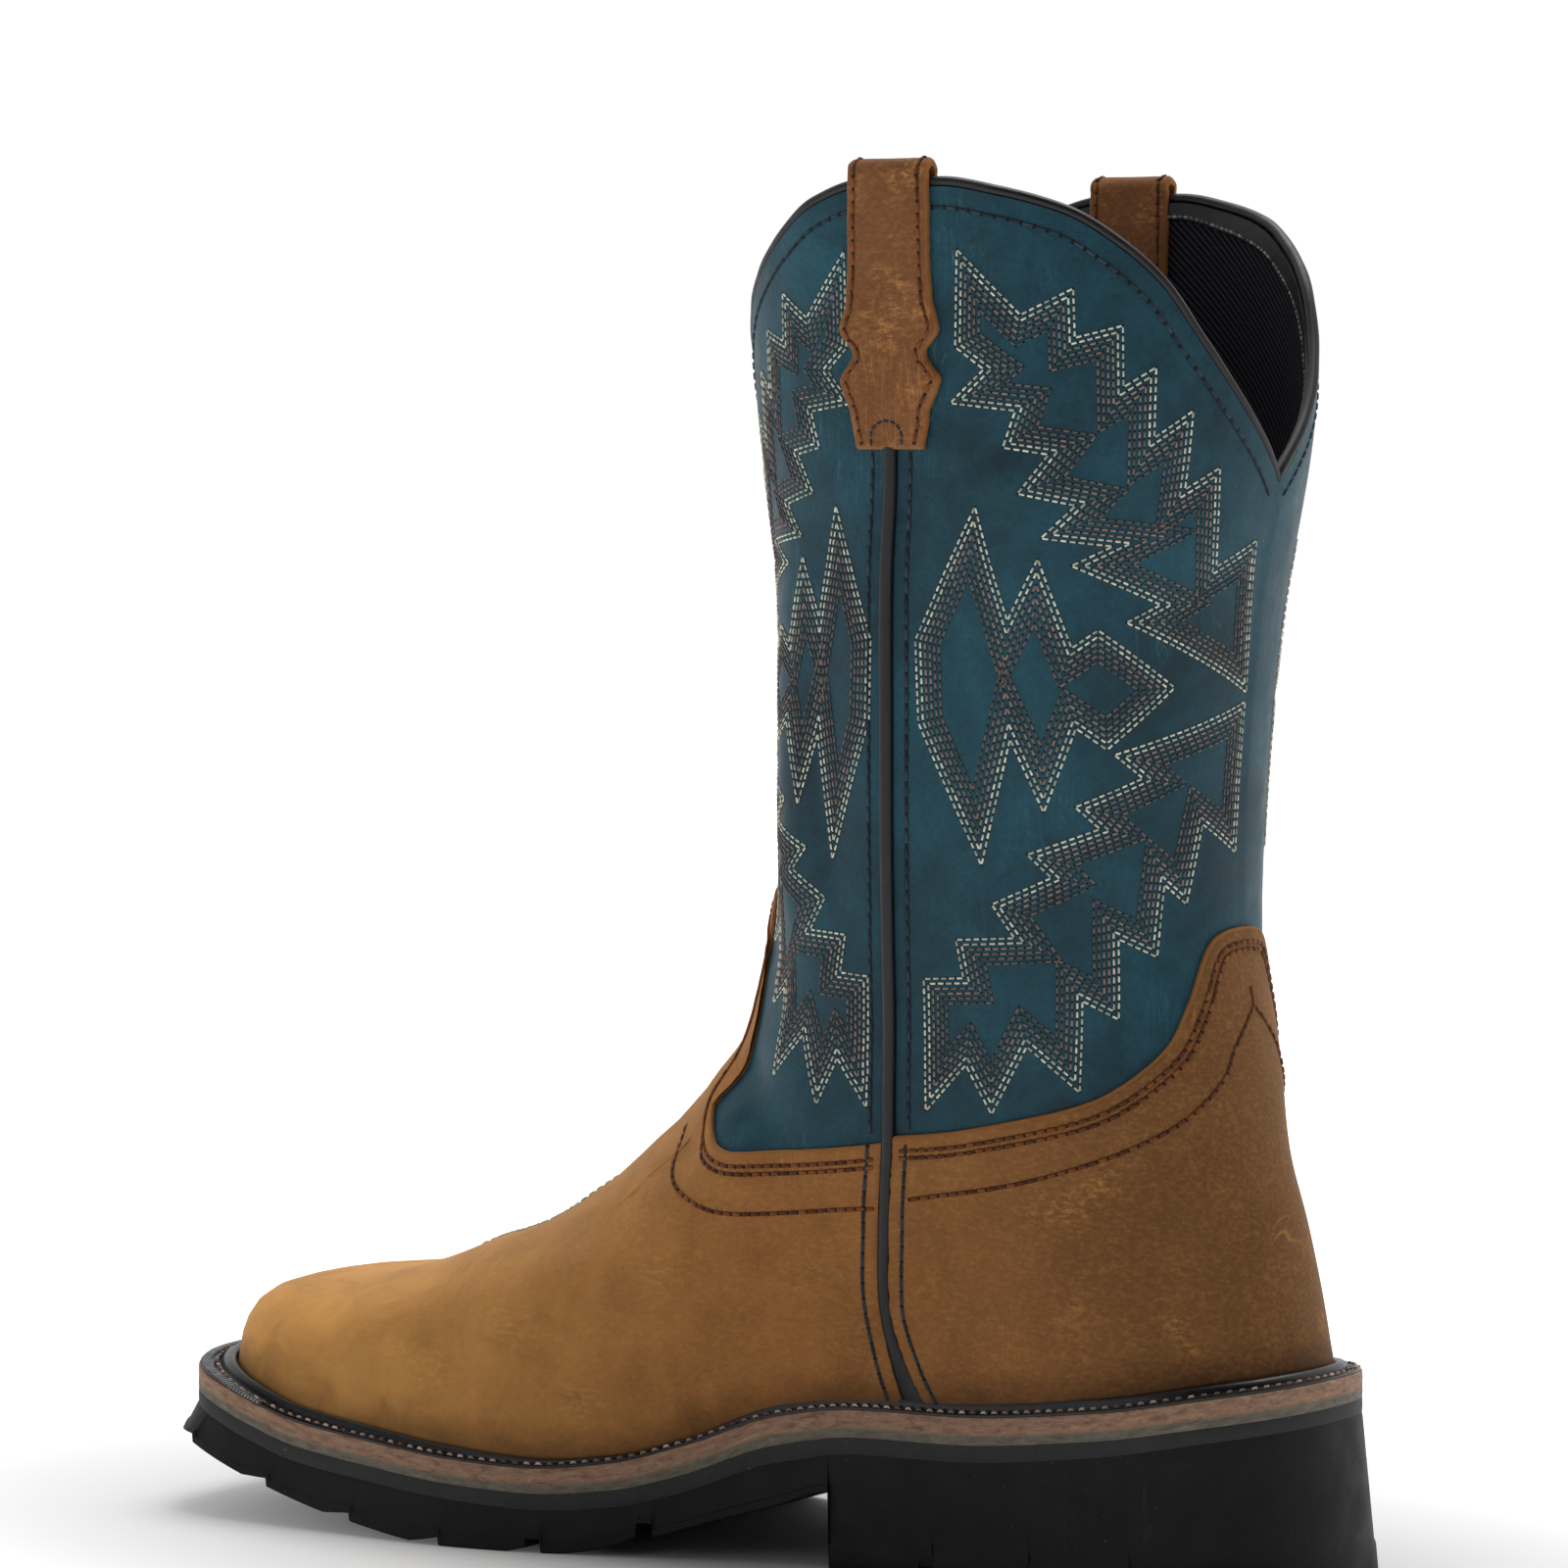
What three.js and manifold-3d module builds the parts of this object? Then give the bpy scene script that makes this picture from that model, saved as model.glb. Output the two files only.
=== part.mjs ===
import * as THREE from 'three';
import { mergeVertices } from 'three/addons/utils/BufferGeometryUtils.js';
import ManifoldModule from 'manifold-3d';

// Western work boot for the left foot, in millimetres.
// +X points to the toe, +Y to the wearer's left (the outer side), +Z up.
// The origin is on the floor under the middle of the heel.

const wasm = await ManifoldModule();
wasm.setup();

// Last and shaft
const lastLength = 280; // heel to toe along the feather line, where upper and sole meet
const lastBehind = 29.5; // how far the back of the last lies behind the origin
const ballWidth = 100; // widest part of the forefoot at the feather line
const seatHeight = 38; // top of the sole under the waist of the foot
const instepRise = 62; // instep above the seat
const shaftRise = 217.5; // topline above the instep, at the sides
const shaftDepth = 134; // front to back at the topline
const shaftWidth = 114; // side to side at the topline
const shaftAlong = 0.27; // middle of the shaft, as a share of lastLength from the heel
const scallopDepth = 66; // how far the topline dips at front and back
const upperWall = 2.2; // shaft leather with its lining
const overlayThickness = 1.4; // vamp and counter leather
const fitGap = 0.3; // between pieces that lie on each other
const seatGap = 0.6; // under the edge of the upper, whose straight facets bridge the curve of the sole
const curveSeat = 0.2; // more for a straight-backed piece, which has to clear the curve of the leather

// Sole
const toeWelt = 11.5; // top edge of the midsole beyond the last, at the toe
const heelWelt = 6.5; // the same at the back of the heel
const sideWelt = 5.5; // the same at each side of the ball
const heelHeight = 49; // top of the midsole at the back of the heel
const ballHeight = 19.5; // top of the midsole under the ball of the foot
const midsoleLayer = 6.5; // brown leather-look layer
const rubberLayer = 3.6; // grey layer under it
const archHeight = 20; // clear height in front of the heel breast
const toeSpring = 20; // outsole under the toe above the floor
const heelBreast = 77; // front face of the heel, ahead of the origin
const soleFlare = 4; // how far the outsole spreads at toe and heel, from top to tread
const sideFlare = 1.2; // the same along its sides
const lugDepth = 3.2;
const lugPitch = 21.5;
const lugGroove = 3.4; // width of the slots between lugs
const lugReach = 24; // length of a slot in from the edge
const lugStep = 2.1; // drop from one lug to the next along the edge

// Rubber rand and welt
const randHeight = 5.2; // bead above the midsole
const randWidth = 3.6;
const weltThick = 1.8;
const weltInset = 1.6; // welt edge inside the midsole edge

// Trim
const beadWidth = 2.2; // rolled binding on the topline
const pipingWidth = 2.6; // cord in the side seams
const pipingHeight = 0.6; // cord above the vamp leather
const strapThickness = 2;
const strapBand = 21.2; // plain width of a pull strap
const strapDrop = 58.5; // outer end below the topline
const strapInside = 30; // inner end below the topline
const insoleThick = 3;
const insoleClear = 1;

// How finely the curved forms are divided
const frontCapSteps = 7;
const sideSteps = 10;
const backCapSteps = 6;
const ringRows = 24;
const soleCapSteps = 8;
const soleSideSteps = 22;

// Sections of shaft and foot, from the topline down to the feather line.
// frontAt, backAt: shares of shaftDepth from the shaft's middle, or of lastLength from the heel.
// frontLevel, backLevel: 0 at the seat, 1 at the instep, 2 at the topline.
// toe, ball, waist, heel: half widths as shares of shaftWidth or ballWidth.
// frontCap, backCap: share of the section that each rounded end takes; the powers square it off.
// swing: how far the front end swings outwards, as a share of the same width.
const sectionColumns = [
  'frontAt', 'frontLevel', 'backAt', 'backLevel', 'toe', 'ball', 'waist', 'heel',
  'frontCap', 'frontPower', 'backCap', 'backPower', 'swing',
];
const shaftSections = [
  [0.504, 2.000, -0.500, 2.000, 0.482, 0.500, 0.500, 0.482, 0.44, 2.1, 0.44, 2.1, 0],
  [0.477, 1.773, -0.504, 1.773, 0.474, 0.491, 0.491, 0.474, 0.44, 2.1, 0.44, 2.1, 0],
  [0.431, 1.561, -0.446, 1.561, 0.456, 0.474, 0.465, 0.447, 0.44, 2.1, 0.44, 2.1, 0],
  [0.442, 1.368, -0.418, 1.368, 0.439, 0.456, 0.447, 0.421, 0.44, 2.1, 0.44, 2.1, 0],
  [0.459, 1.221, -0.418, 1.207, 0.421, 0.439, 0.421, 0.386, 0.44, 2.1, 0.44, 2.1, 0],
  [0.510, 1.110, -0.453, 1.078, 0.386, 0.404, 0.386, 0.342, 0.42, 2.1, 0.42, 2.1, 0],
];
const footSections = [
  [0.574, 1.015, 0.043, 0.952, 0.380, 0.430, 0.400, 0.360, 0.36, 2.1, 0.36, 2.1, 0],
  [0.698, 0.600, 0.027, 0.710, 0.360, 0.430, 0.380, 0.350, 0.28, 2.1, 0.28, 2.1, 0],
  [0.777, 0.448, 0.016, 0.500, 0.360, 0.470, 0.370, 0.350, 0.22, 2.2, 0.24, 2.1, 0.02],
  [0.858, 0.316, 0.009, 0.355, 0.370, 0.490, 0.360, 0.350, 0.17, 2.5, 0.22, 2.1, 0.03],
  [0.991, 0.218, 0.004, 0.266, 0.390, 0.500, 0.355, 0.340, 0.15, 2.8, 0.20, 2.1, 0.04],
  [1.000, 0.000, 0.000, 0.000, 0.380, 0.500, 0.325, 0.330, 0.15, 2.9, 0.20, 2.2, 0.05],
];

// Where the half widths of a section stand along it
const widthStations = [0, 0.3, 0.62, 0.88, 1];

// Scalloped topline: share of the way round from a dip, and share of scallopDepth below the sides
const scallop = [
  { away: 0, front: 1, back: 1 },
  { away: 0.09, front: 0.74, back: 0.74 },
  { away: 0.15, front: 0.53, back: 0.53 },
  { away: 0.2, front: 0.385, back: 0.33 },
  { away: 0.25, front: 0.28, back: 0.2 },
  { away: 0.305, front: 0.175, back: 0.1 },
  { away: 0.38, front: 0.05, back: 0.035 },
  { away: 0.45, front: 0, back: 0 },
  { away: 0.5, front: 0, back: 0 },
];

// Side of the sole, heel to toe: along as a share of soleLength, top as a share of the way from
// ballHeight to heelHeight, layers as shares of midsoleLayer and rubberLayer.
const soleSide = [
  { along: 0, top: 1, midsole: 0.95, rubber: 0.85 },
  { along: 0.06, top: 0.912, midsole: 0.95, rubber: 0.88 },
  { along: 0.148, top: 0.763, midsole: 0.95, rubber: 0.95 },
  { along: 0.272, top: 0.635, midsole: 0.97, rubber: 1 },
  { along: 0.356, top: 0.617, midsole: 1, rubber: 1 },
  { along: 0.43, top: 0.51, midsole: 1.1, rubber: 1.05 },
  { along: 0.503, top: 0.24, midsole: 1.25, rubber: 1.1 },
  { along: 0.56, top: 0.078, midsole: 1.3, rubber: 1.1 },
  { along: 0.624, top: 0, midsole: 1.28, rubber: 1.05 },
  { along: 0.695, top: 0.03, midsole: 1.18, rubber: 1.05 },
  { along: 0.775, top: 0.14, midsole: 1.08, rubber: 1 },
  { along: 0.852, top: 0.27, midsole: 1, rubber: 0.95 },
  { along: 0.943, top: 0.586, midsole: 0.97, rubber: 1 },
  { along: 1, top: 0.73, midsole: 1, rubber: 1.05 },
];

// Tread line from the heel breast to the toe: shares of archHeight and toeSpring
const treadLine = [
  { along: 0, arch: 1, spring: 0 },
  { along: 0.379, arch: 1, spring: 0 },
  { along: 0.43, arch: 0.69, spring: 0 },
  { along: 0.47, arch: 0.51, spring: 0 },
  { along: 0.54, arch: 0.18, spring: 0 },
  { along: 0.604, arch: 0, spring: 0 },
  { along: 0.695, arch: 0, spring: 0 },
  { along: 0.805, arch: 0, spring: 0.21 },
  { along: 0.893, arch: 0, spring: 0.52 },
  { along: 0.977, arch: 0, spring: 0.9 },
  { along: 1.014, arch: 0, spring: 1 },
];

// Plan of the sole, with half widths as shares of soleBallWidth
const solePlan = {
  toe: 0.41, ball: 0.5, waist: 0.324, heel: 0.347, frontCap: 0.12, frontPower: 3.2,
  backCap: 0.14, backPower: 2.2, swing: 0.045,
};

// Upper edges of vamp and counter seen from the side, from the side seam to the middle of the
// front or back: along as a share of lastLength, and by level
const edgeAtSeam = 1.014; // level at which both edges meet the side seam
const vampEdge = [
  { along: 0.352, level: 0.992 },
  { along: 0.432, level: 0.951 },
  { along: 0.468, level: 0.934 },
  { along: 0.480, level: 0.943 },
  { along: 0.490, level: 0.992 },
  { along: 0.4965, level: 1.05 },
  { along: 0.485, level: 1.097 },
  { along: 0.468, level: 1.152 },
  { along: 0.454, level: 1.207 },
  { along: 0.462, level: 1.24 },
  { along: 0.5, level: 1.28 },
];
const counterEdge = [
  { along: 0.267, level: 1.018 },
  { along: 0.232, level: 1.026 },
  { along: 0.16, level: 1.048 },
  { along: 0.124, level: 1.07 },
  { along: 0.094, level: 1.108 },
  { along: 0.083, level: 1.153 },
  { along: 0.077, level: 1.215 },
  { along: 0.071, level: 1.232 },
  { along: 0.058, level: 1.245 },
];
const overlayTop = 1.5; // level at which the overlays' leather is cut from, above both edges

// Side seam, from the pull strap down to the welt
const seamLine = [
  { level: 2, along: 0.282 },
  { level: 1.73, along: 0.283 },
  { level: 1.587, along: 0.29 },
  { level: 1.385, along: 0.294 },
  { level: 1.178, along: 0.3 },
  { level: 1.011, along: 0.314 },
  { level: 0.702, along: 0.323 },
  { level: 0.406, along: 0.327 },
  { level: 0.185, along: 0.318 },
  { level: 0, along: 0.306 },
];

// Outline of a pull strap: share of strapDrop above its outer end, half width as a share of strapBand
const strapShape = [
  { up: 0, half: 0.42 },
  { up: 0.145, half: 0.5 },
  { up: 0.265, half: 0.62 },
  { up: 0.36, half: 0.43 },
  { up: 0.46, half: 0.62 },
  { up: 0.57, half: 0.53 },
  { up: 0.7, half: 0.5 },
  { up: 1, half: 0.5 },
];

// Worked out from the sizes above
const soleBack = -lastBehind - heelWelt;
const soleLength = lastLength + heelWelt + toeWelt;
const soleBallWidth = ballWidth + 2 * sideWelt;
const overlayOut = fitGap + overlayThickness;
const randOut = overlayOut + fitGap;

const lastX = (share) => -lastBehind + share * lastLength;
const shaftX = (share) => lastX(shaftAlong) + share * shaftDepth;
const soleX = (share) => soleBack + share * soleLength;
const levelZ = (level) => seatHeight + Math.min(level, 1) * instepRise + Math.max(level - 1, 0) * shaftRise;

// Smooth curve through points that never swings past them
function smoothThrough(xs, ys) {
  const last = xs.length - 1;
  const rise = xs.slice(1).map((x, i) => (ys[i + 1] - ys[i]) / (x - xs[i]));
  const slope = xs.map((x, i) => {
    if (i === 0) return rise[0];
    if (i === last) return rise[last - 1];
    const product = rise[i - 1] * rise[i];
    return product <= 0 ? 0 : (2 * product) / (rise[i - 1] + rise[i]);
  });
  return (x) => {
    if (x <= xs[0]) return ys[0] + slope[0] * (x - xs[0]);
    if (x >= xs[last]) return ys[last] + slope[last] * (x - xs[last]);
    let i = 0;
    while (x > xs[i + 1]) i += 1;
    const span = xs[i + 1] - xs[i];
    const f = (x - xs[i]) / span;
    const g = 1 - f;
    return ys[i] * g * g * (1 + 2 * f) + ys[i + 1] * f * f * (1 + 2 * g)
      + span * f * g * (slope[i] * g - slope[i + 1] * f);
  };
}

const column = (table, name) => table.map((row) => row[name]);

const soleAlong = column(soleSide, 'along').map(soleX);
const soleTop = smoothThrough(
  soleAlong,
  column(soleSide, 'top').map((share) => ballHeight + share * (heelHeight - ballHeight)),
);
const midsoleDepth = smoothThrough(soleAlong, column(soleSide, 'midsole').map((s) => s * midsoleLayer));
const rubberDepth = smoothThrough(soleAlong, column(soleSide, 'rubber').map((s) => s * rubberLayer));
const treadHeight = smoothThrough(
  column(treadLine, 'along').map(soleX),
  treadLine.map((row) => row.arch * archHeight + row.spring * toeSpring),
);

// Sections as lengths, shaft first
function sectionRow(values, placeX, width) {
  const row = Object.fromEntries(sectionColumns.map((name, i) => [name, values[i]]));
  const sized = {
    frontX: placeX(row.frontAt),
    frontZ: levelZ(row.frontLevel),
    backX: placeX(row.backAt),
    backZ: levelZ(row.backLevel),
    frontCap: row.frontCap,
    frontPower: row.frontPower,
    backCap: row.backCap,
    backPower: row.backPower,
  };
  for (const name of ['toe', 'ball', 'waist', 'heel', 'swing']) {
    sized[name] = row[name] * width;
  }
  return sized;
}

const sections = [
  ...shaftSections.map((values) => sectionRow(values, shaftX, shaftWidth)),
  ...footSections.map((values) => sectionRow(values, lastX, ballWidth)),
];
const feather = sections[sections.length - 1];
feather.frontZ = soleTop(feather.frontX);
feather.backZ = soleTop(feather.backX);

// Section between two rows, by the share of the way from topline to feather line
function sectionAt(down) {
  const count = sections.length - 1;
  const place = Math.min(Math.max(down, 0) * count, count - 1e-9);
  const i = Math.floor(place);
  const f = place - i;
  const before = sections[Math.max(i - 1, 0)];
  const after = sections[Math.min(i + 2, count)];
  const mixed = {};
  for (const name of Object.keys(feather)) {
    const [a, b, c, d] = [before[name], sections[i][name], sections[i + 1][name], after[name]];
    mixed[name] = 0.5 * (2 * b + (c - a) * f + (2 * a - 5 * b + 4 * c - d) * f * f
      + (3 * b - a - 3 * c + d) * f * f * f);
  }
  return mixed;
}

// Stations round one side of a section: share of its length, and how full the rounded end is
function capStations(shape, capFront, side, capBack) {
  const stations = [];
  for (let i = 0; i < capFront; i += 1) {
    const turn = (Math.PI / 2) * (i / capFront);
    stations.push({
      share: shape.frontCap * (1 - Math.cos(turn) ** (2 / shape.frontPower)),
      full: Math.sin(turn) ** (2 / shape.frontPower),
    });
  }
  for (let i = 0; i < side; i += 1) {
    stations.push({ share: shape.frontCap + (1 - shape.frontCap - shape.backCap) * (i / side), full: 1 });
  }
  for (let i = 0; i <= capBack; i += 1) {
    const turn = (Math.PI / 2) * (1 - i / capBack);
    stations.push({
      share: 1 - shape.backCap * (1 - Math.cos(turn) ** (2 / shape.backPower)),
      full: i < capBack ? Math.sin(turn) ** (2 / shape.backPower) : 0,
    });
  }
  return stations;
}

// How full a section is at any share of its length
function fullAt(section, share) {
  const rounded = (near, power) => (1 - (1 - Math.min(Math.max(near, 0), 1)) ** power) ** (1 / power);
  const front = rounded(share / section.frontCap, section.frontPower);
  const back = rounded((1 - share) / section.backCap, section.backPower);
  return front * back;
}

function halfWidthOf(shape) {
  return smoothThrough(widthStations, [shape.toe, shape.ball, shape.waist, shape.heel, shape.heel]);
}

// How far a section has left the flat chord and follows the sole, 0 above the instep, 1 at the feather
const sagStart = 0.6;
function sagShare(down) {
  const k = Math.min(Math.max((down - sagStart) / (1 - sagStart), 0), 1);
  return k * k * (3 - 2 * k);
}

function pointOn(section, down, station, side, body = halfWidthOf(section)) {
  const { share, full } = station;
  const x = section.frontX + (section.backX - section.frontX) * share;
  const chord = section.frontZ + (section.backZ - section.frontZ) * share;
  const frontSole = soleTop(section.frontX);
  const soleChord = frontSole + (soleTop(section.backX) - frontSole) * share;
  const z = chord + sagShare(down) * (soleTop(x) - soleChord);
  const middle = section.swing * (1 - share) ** 2;
  return new THREE.Vector3(x, middle + side * body(share) * full, z);
}

// Whole ring: front centre, outer side, back centre, inner side
function ringAt(down) {
  const section = sectionAt(down);
  const body = halfWidthOf(section);
  const stations = capStations(section, frontCapSteps, sideSteps, backCapSteps);
  const outer = stations.map((station) => pointOn(section, down, station, 1, body));
  const inner = stations.slice(1, -1).map((station) => pointOn(section, down, station, -1, body));
  return [...outer, ...inner.reverse()];
}

const halfColumns = frontCapSteps + sideSteps + backCapSteps;
const ringColumns = 2 * halfColumns;

// Topline: how far down the shaft each column of the rings starts
function toplineDrops() {
  const ring = ringAt(0);
  const travelled = [0];
  for (let i = 1; i <= halfColumns; i += 1) {
    travelled.push(travelled[i - 1] + ring[i].distanceTo(ring[i - 1]));
  }
  const round = travelled[halfColumns];
  const frontDip = smoothThrough(column(scallop, 'away'), column(scallop, 'front'));
  const backDip = smoothThrough(column(scallop, 'away'), column(scallop, 'back'));
  const drops = travelled.map((length) => {
    const share = length / round;
    const dip = share < 0.5 ? frontDip(share) : backDip(1 - share);
    return downAtHeight(levelZ(2) - Math.max(dip, 0) * scallopDepth);
  });
  return [...drops, ...drops.slice(1, -1).reverse()];
}

// Share of the way down at which the front of the shaft has this height
function downAtHeight(z) {
  let low = 0;
  let high = 0.5;
  for (let i = 0; i < 40; i += 1) {
    const middle = (low + high) / 2;
    if (sectionAt(middle).frontZ > z) low = middle;
    else high = middle;
  }
  return (low + high) / 2;
}

const drops = toplineDrops();

// Point of the boot's surface for a row share and a ring column
function surfacePoint(rowShare, columnIndex) {
  const down = rowShare + drops[columnIndex] * (1 - rowShare) ** 2;
  const section = sectionAt(down);
  const mirrored = columnIndex > halfColumns;
  const index = mirrored ? ringColumns - columnIndex : columnIndex;
  const station = capStations(section, frontCapSteps, sideSteps, backCapSteps)[index];
  return pointOn(section, down, station, mirrored ? -1 : 1);
}

const surface = [];
for (let row = 0; row <= ringRows; row += 1) {
  const points = [];
  for (let c = 0; c < ringColumns; c += 1) {
    points.push(surfacePoint(row / ringRows, c));
  }
  surface.push(points);
}

const normals = surface.map((points, row) => points.map((point, c) => {
  const along = new THREE.Vector3().subVectors(
    points[(c + 1) % ringColumns],
    points[(c + ringColumns - 1) % ringColumns],
  );
  const down = new THREE.Vector3().subVectors(
    surface[Math.min(row + 1, ringRows)][c],
    surface[Math.max(row - 1, 0)][c],
  );
  return down.cross(along).normalize();
}));

// The surface moved outwards by a distance, with the last row kept on the sole
function offsetRow(row, distance) {
  return surface[row].map((point, c) => {
    const moved = point.clone().addScaledVector(normals[row][c], distance);
    if (row === ringRows) moved.z = soleTop(moved.x) + seatGap;
    return moved;
  });
}

// Closed solid from rings of equal length: quads between them, and between the last and the first.
// From the ring turnedFrom on, the quads are split the other way.
function loopSolid(rings, turnedFrom = rings.length) {
  const positions = [];
  const indices = [];
  const size = rings[0].length;
  for (const ring of rings) {
    for (const point of ring) positions.push(point.x, point.y, point.z);
  }
  rings.forEach((ring, r) => {
    const next = (r + 1) % rings.length;
    for (let c = 0; c < size; c += 1) {
      const d = (c + 1) % size;
      const [p, q, s, t] = [r * size + c, r * size + d, next * size + d, next * size + c];
      if (r < turnedFrom) indices.push(p, s, q, p, t, s);
      else indices.push(p, t, q, q, t, s);
    }
  });
  return outward(geometryOf(positions, indices));
}

function geometryOf(positions, indices) {
  const geometry = new THREE.BufferGeometry();
  geometry.setAttribute('position', new THREE.Float32BufferAttribute(positions, 3));
  geometry.setIndex(indices);
  return geometry;
}

// Turns every face over if the solid is inside out
function outward(geometry) {
  const position = geometry.getAttribute('position');
  const index = geometry.getIndex().array;
  const [a, b, c] = [new THREE.Vector3(), new THREE.Vector3(), new THREE.Vector3()];
  let volume = 0;
  for (let i = 0; i < index.length; i += 3) {
    a.fromBufferAttribute(position, index[i]);
    b.fromBufferAttribute(position, index[i + 1]);
    c.fromBufferAttribute(position, index[i + 2]);
    volume += a.dot(b.cross(c));
  }
  if (volume < 0) {
    for (let i = 0; i < index.length; i += 3) {
      [index[i + 1], index[i + 2]] = [index[i + 2], index[i + 1]];
    }
  }
  return geometry;
}

// Wall between two offsets of the boot's surface, from a row down to the feather line
function wall(outerOffset, innerOffset, firstRow) {
  const rings = [];
  for (let row = firstRow; row <= ringRows; row += 1) rings.push(offsetRow(row, outerOffset));
  const outerCount = rings.length;
  for (let row = ringRows; row >= firstRow; row -= 1) rings.push(offsetRow(row, innerOffset));
  return loopSolid(rings, outerCount);
}

function toManifold(geometry) {
  const bare = geometry.clone();
  bare.deleteAttribute('normal');
  bare.deleteAttribute('uv');
  const merged = mergeVertices(bare, 1e-5);
  return new wasm.Manifold(new wasm.Mesh({
    numProp: 3,
    vertProperties: new Float32Array(merged.getAttribute('position').array),
    triVerts: new Uint32Array(merged.getIndex().array),
  }));
}

function fromManifold(solid) {
  const mesh = solid.getMesh();
  const positions = [];
  for (let i = 0; i < mesh.numVert; i += 1) {
    for (let k = 0; k < 3; k += 1) positions.push(mesh.vertProperties[i * mesh.numProp + k]);
  }
  return geometryOf(positions, Array.from(mesh.triVerts));
}

// Plain-sided block: a side view outline of [x, z] points, carried across from one y to another
function sideBlock(outline, fromY, toY) {
  const shape = new THREE.Shape(outline.map(([x, z]) => new THREE.Vector2(x, z)));
  const block = new THREE.ExtrudeGeometry(shape, { depth: toY - fromY, bevelEnabled: false });
  block.rotateX(Math.PI / 2);
  block.translate(0, toY, 0);
  return toManifold(block);
}

const seamX = smoothThrough(
  column(seamLine, 'level').map(levelZ).reverse(),
  column(seamLine, 'along').map(lastX).reverse(),
);

// The seam's own line, moved forwards or back, from the floor up to a height
function seamPoints(moved, topZ) {
  const steps = 12;
  const points = [];
  for (let i = 0; i <= steps; i += 1) {
    const z = (topZ * i) / steps;
    points.push([seamX(Math.max(z, seatHeight)) + moved, z]);
  }
  return points;
}

const slotHalf = pipingWidth / 2 + fitGap + curveSeat;

// Overlay leather below an edge, on one side of the seams' slots and out to a far end
function buildOverlay(edge, slotX, farX) {
  const shaftRows = shaftSections.length - 1;
  const firstDown = (shaftRows * (2 - overlayTop)) / (sections.length - 1);
  const leather = toManifold(wall(overlayOut, fitGap, Math.floor(ringRows * firstDown)));
  const outline = [
    ...seamPoints(slotX, levelZ(edgeAtSeam)),
    ...edge.map((row) => [lastX(row.along), levelZ(row.level)]),
    [farX, levelZ(edge[edge.length - 1].level)],
    [farX, 0],
  ];
  return fromManifold(leather.intersect(sideBlock(outline, -shaftWidth, shaftWidth)));
}

// Plan outline of a sole layer, with one rung for each station: its x and its two edges
function soleRungs(spread, widen) {
  const shape = {
    ...solePlan,
    toe: solePlan.toe * soleBallWidth + widen,
    ball: solePlan.ball * soleBallWidth + widen,
    waist: solePlan.waist * soleBallWidth + widen,
    heel: solePlan.heel * soleBallWidth + widen,
  };
  const body = halfWidthOf(shape);
  const front = soleX(1) + spread;
  const back = soleBack - spread;
  return capStations(shape, soleCapSteps, soleSideSteps, soleCapSteps).map(({ share, full }) => {
    const middle = solePlan.swing * soleBallWidth * (1 - share) ** 2;
    const half = body(share) * full;
    return { x: front + (back - front) * share, outer: middle + half, inner: middle - half };
  });
}

// Solid between two sets of rungs, each at its own height
function layer(topRungs, topZ, bottomRungs, bottomZ) {
  const positions = [];
  const count = topRungs.length;
  for (const [rungs, height] of [[topRungs, topZ], [bottomRungs, bottomZ]]) {
    for (const rung of rungs) positions.push(rung.x, rung.outer, height(rung.x));
    for (const rung of rungs) positions.push(rung.x, rung.inner, height(rung.x));
  }
  const [topOuter, topInner, lowOuter, lowInner] = [0, count, 2 * count, 3 * count];
  const indices = [];
  const quad = (a, b, c, d) => indices.push(a, b, c, a, c, d);
  for (let i = 0; i < count - 1; i += 1) {
    quad(topOuter + i, topInner + i, topInner + i + 1, topOuter + i + 1);
    quad(lowOuter + i, lowOuter + i + 1, lowInner + i + 1, lowInner + i);
    quad(topOuter + i, topOuter + i + 1, lowOuter + i + 1, lowOuter + i);
    quad(topInner + i, lowInner + i, lowInner + i + 1, topInner + i + 1);
  }
  return outward(tidy(geometryOf(positions, indices)));
}

// Merges points that coincide and drops the faces that collapse with them
function tidy(geometry) {
  const merged = mergeVertices(geometry, 1e-4);
  const index = merged.getIndex().array;
  const kept = [];
  for (let i = 0; i < index.length; i += 3) {
    const [a, b, c] = [index[i], index[i + 1], index[i + 2]];
    if (a !== b && b !== c && a !== c) kept.push(a, b, c);
  }
  merged.setIndex(kept);
  return merged;
}

const midsoleBottom = (x) => soleTop(x) - midsoleDepth(x);
const rubberTop = (x) => midsoleBottom(x) - fitGap;
const rubberBottom = (x) => rubberTop(x) - rubberDepth(x);
const outsoleTop = (x) => rubberBottom(x) - fitGap;

// Block across the whole sole, from one x to another
function uprightBlock(fromX, toX) {
  const low = -1;
  const outline = [[fromX, low], [toX, low], [toX, heelHeight], [fromX, heelHeight]];
  return sideBlock(outline, -soleBallWidth, soleBallWidth);
}

// Forefoot with its arch and toe spring, and the heel block, with the lugs cut in
function buildOutsole() {
  const top = soleRungs(0, 0);
  const tread = soleRungs(soleFlare, sideFlare);
  const ahead = uprightBlock(heelBreast - 1, soleX(1) + 2 * soleFlare);
  const behind = uprightBlock(soleBack - 2 * soleFlare, heelBreast);
  const forepart = toManifold(layer(top, outsoleTop, tread, treadHeight)).intersect(ahead);
  const heel = toManifold(layer(top, outsoleTop, tread, () => 0)).intersect(behind);
  let outsole = forepart.add(heel);
  for (const cut of lugCuts()) outsole = outsole.subtract(cut);
  return fromManifold(outsole);
}

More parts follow.
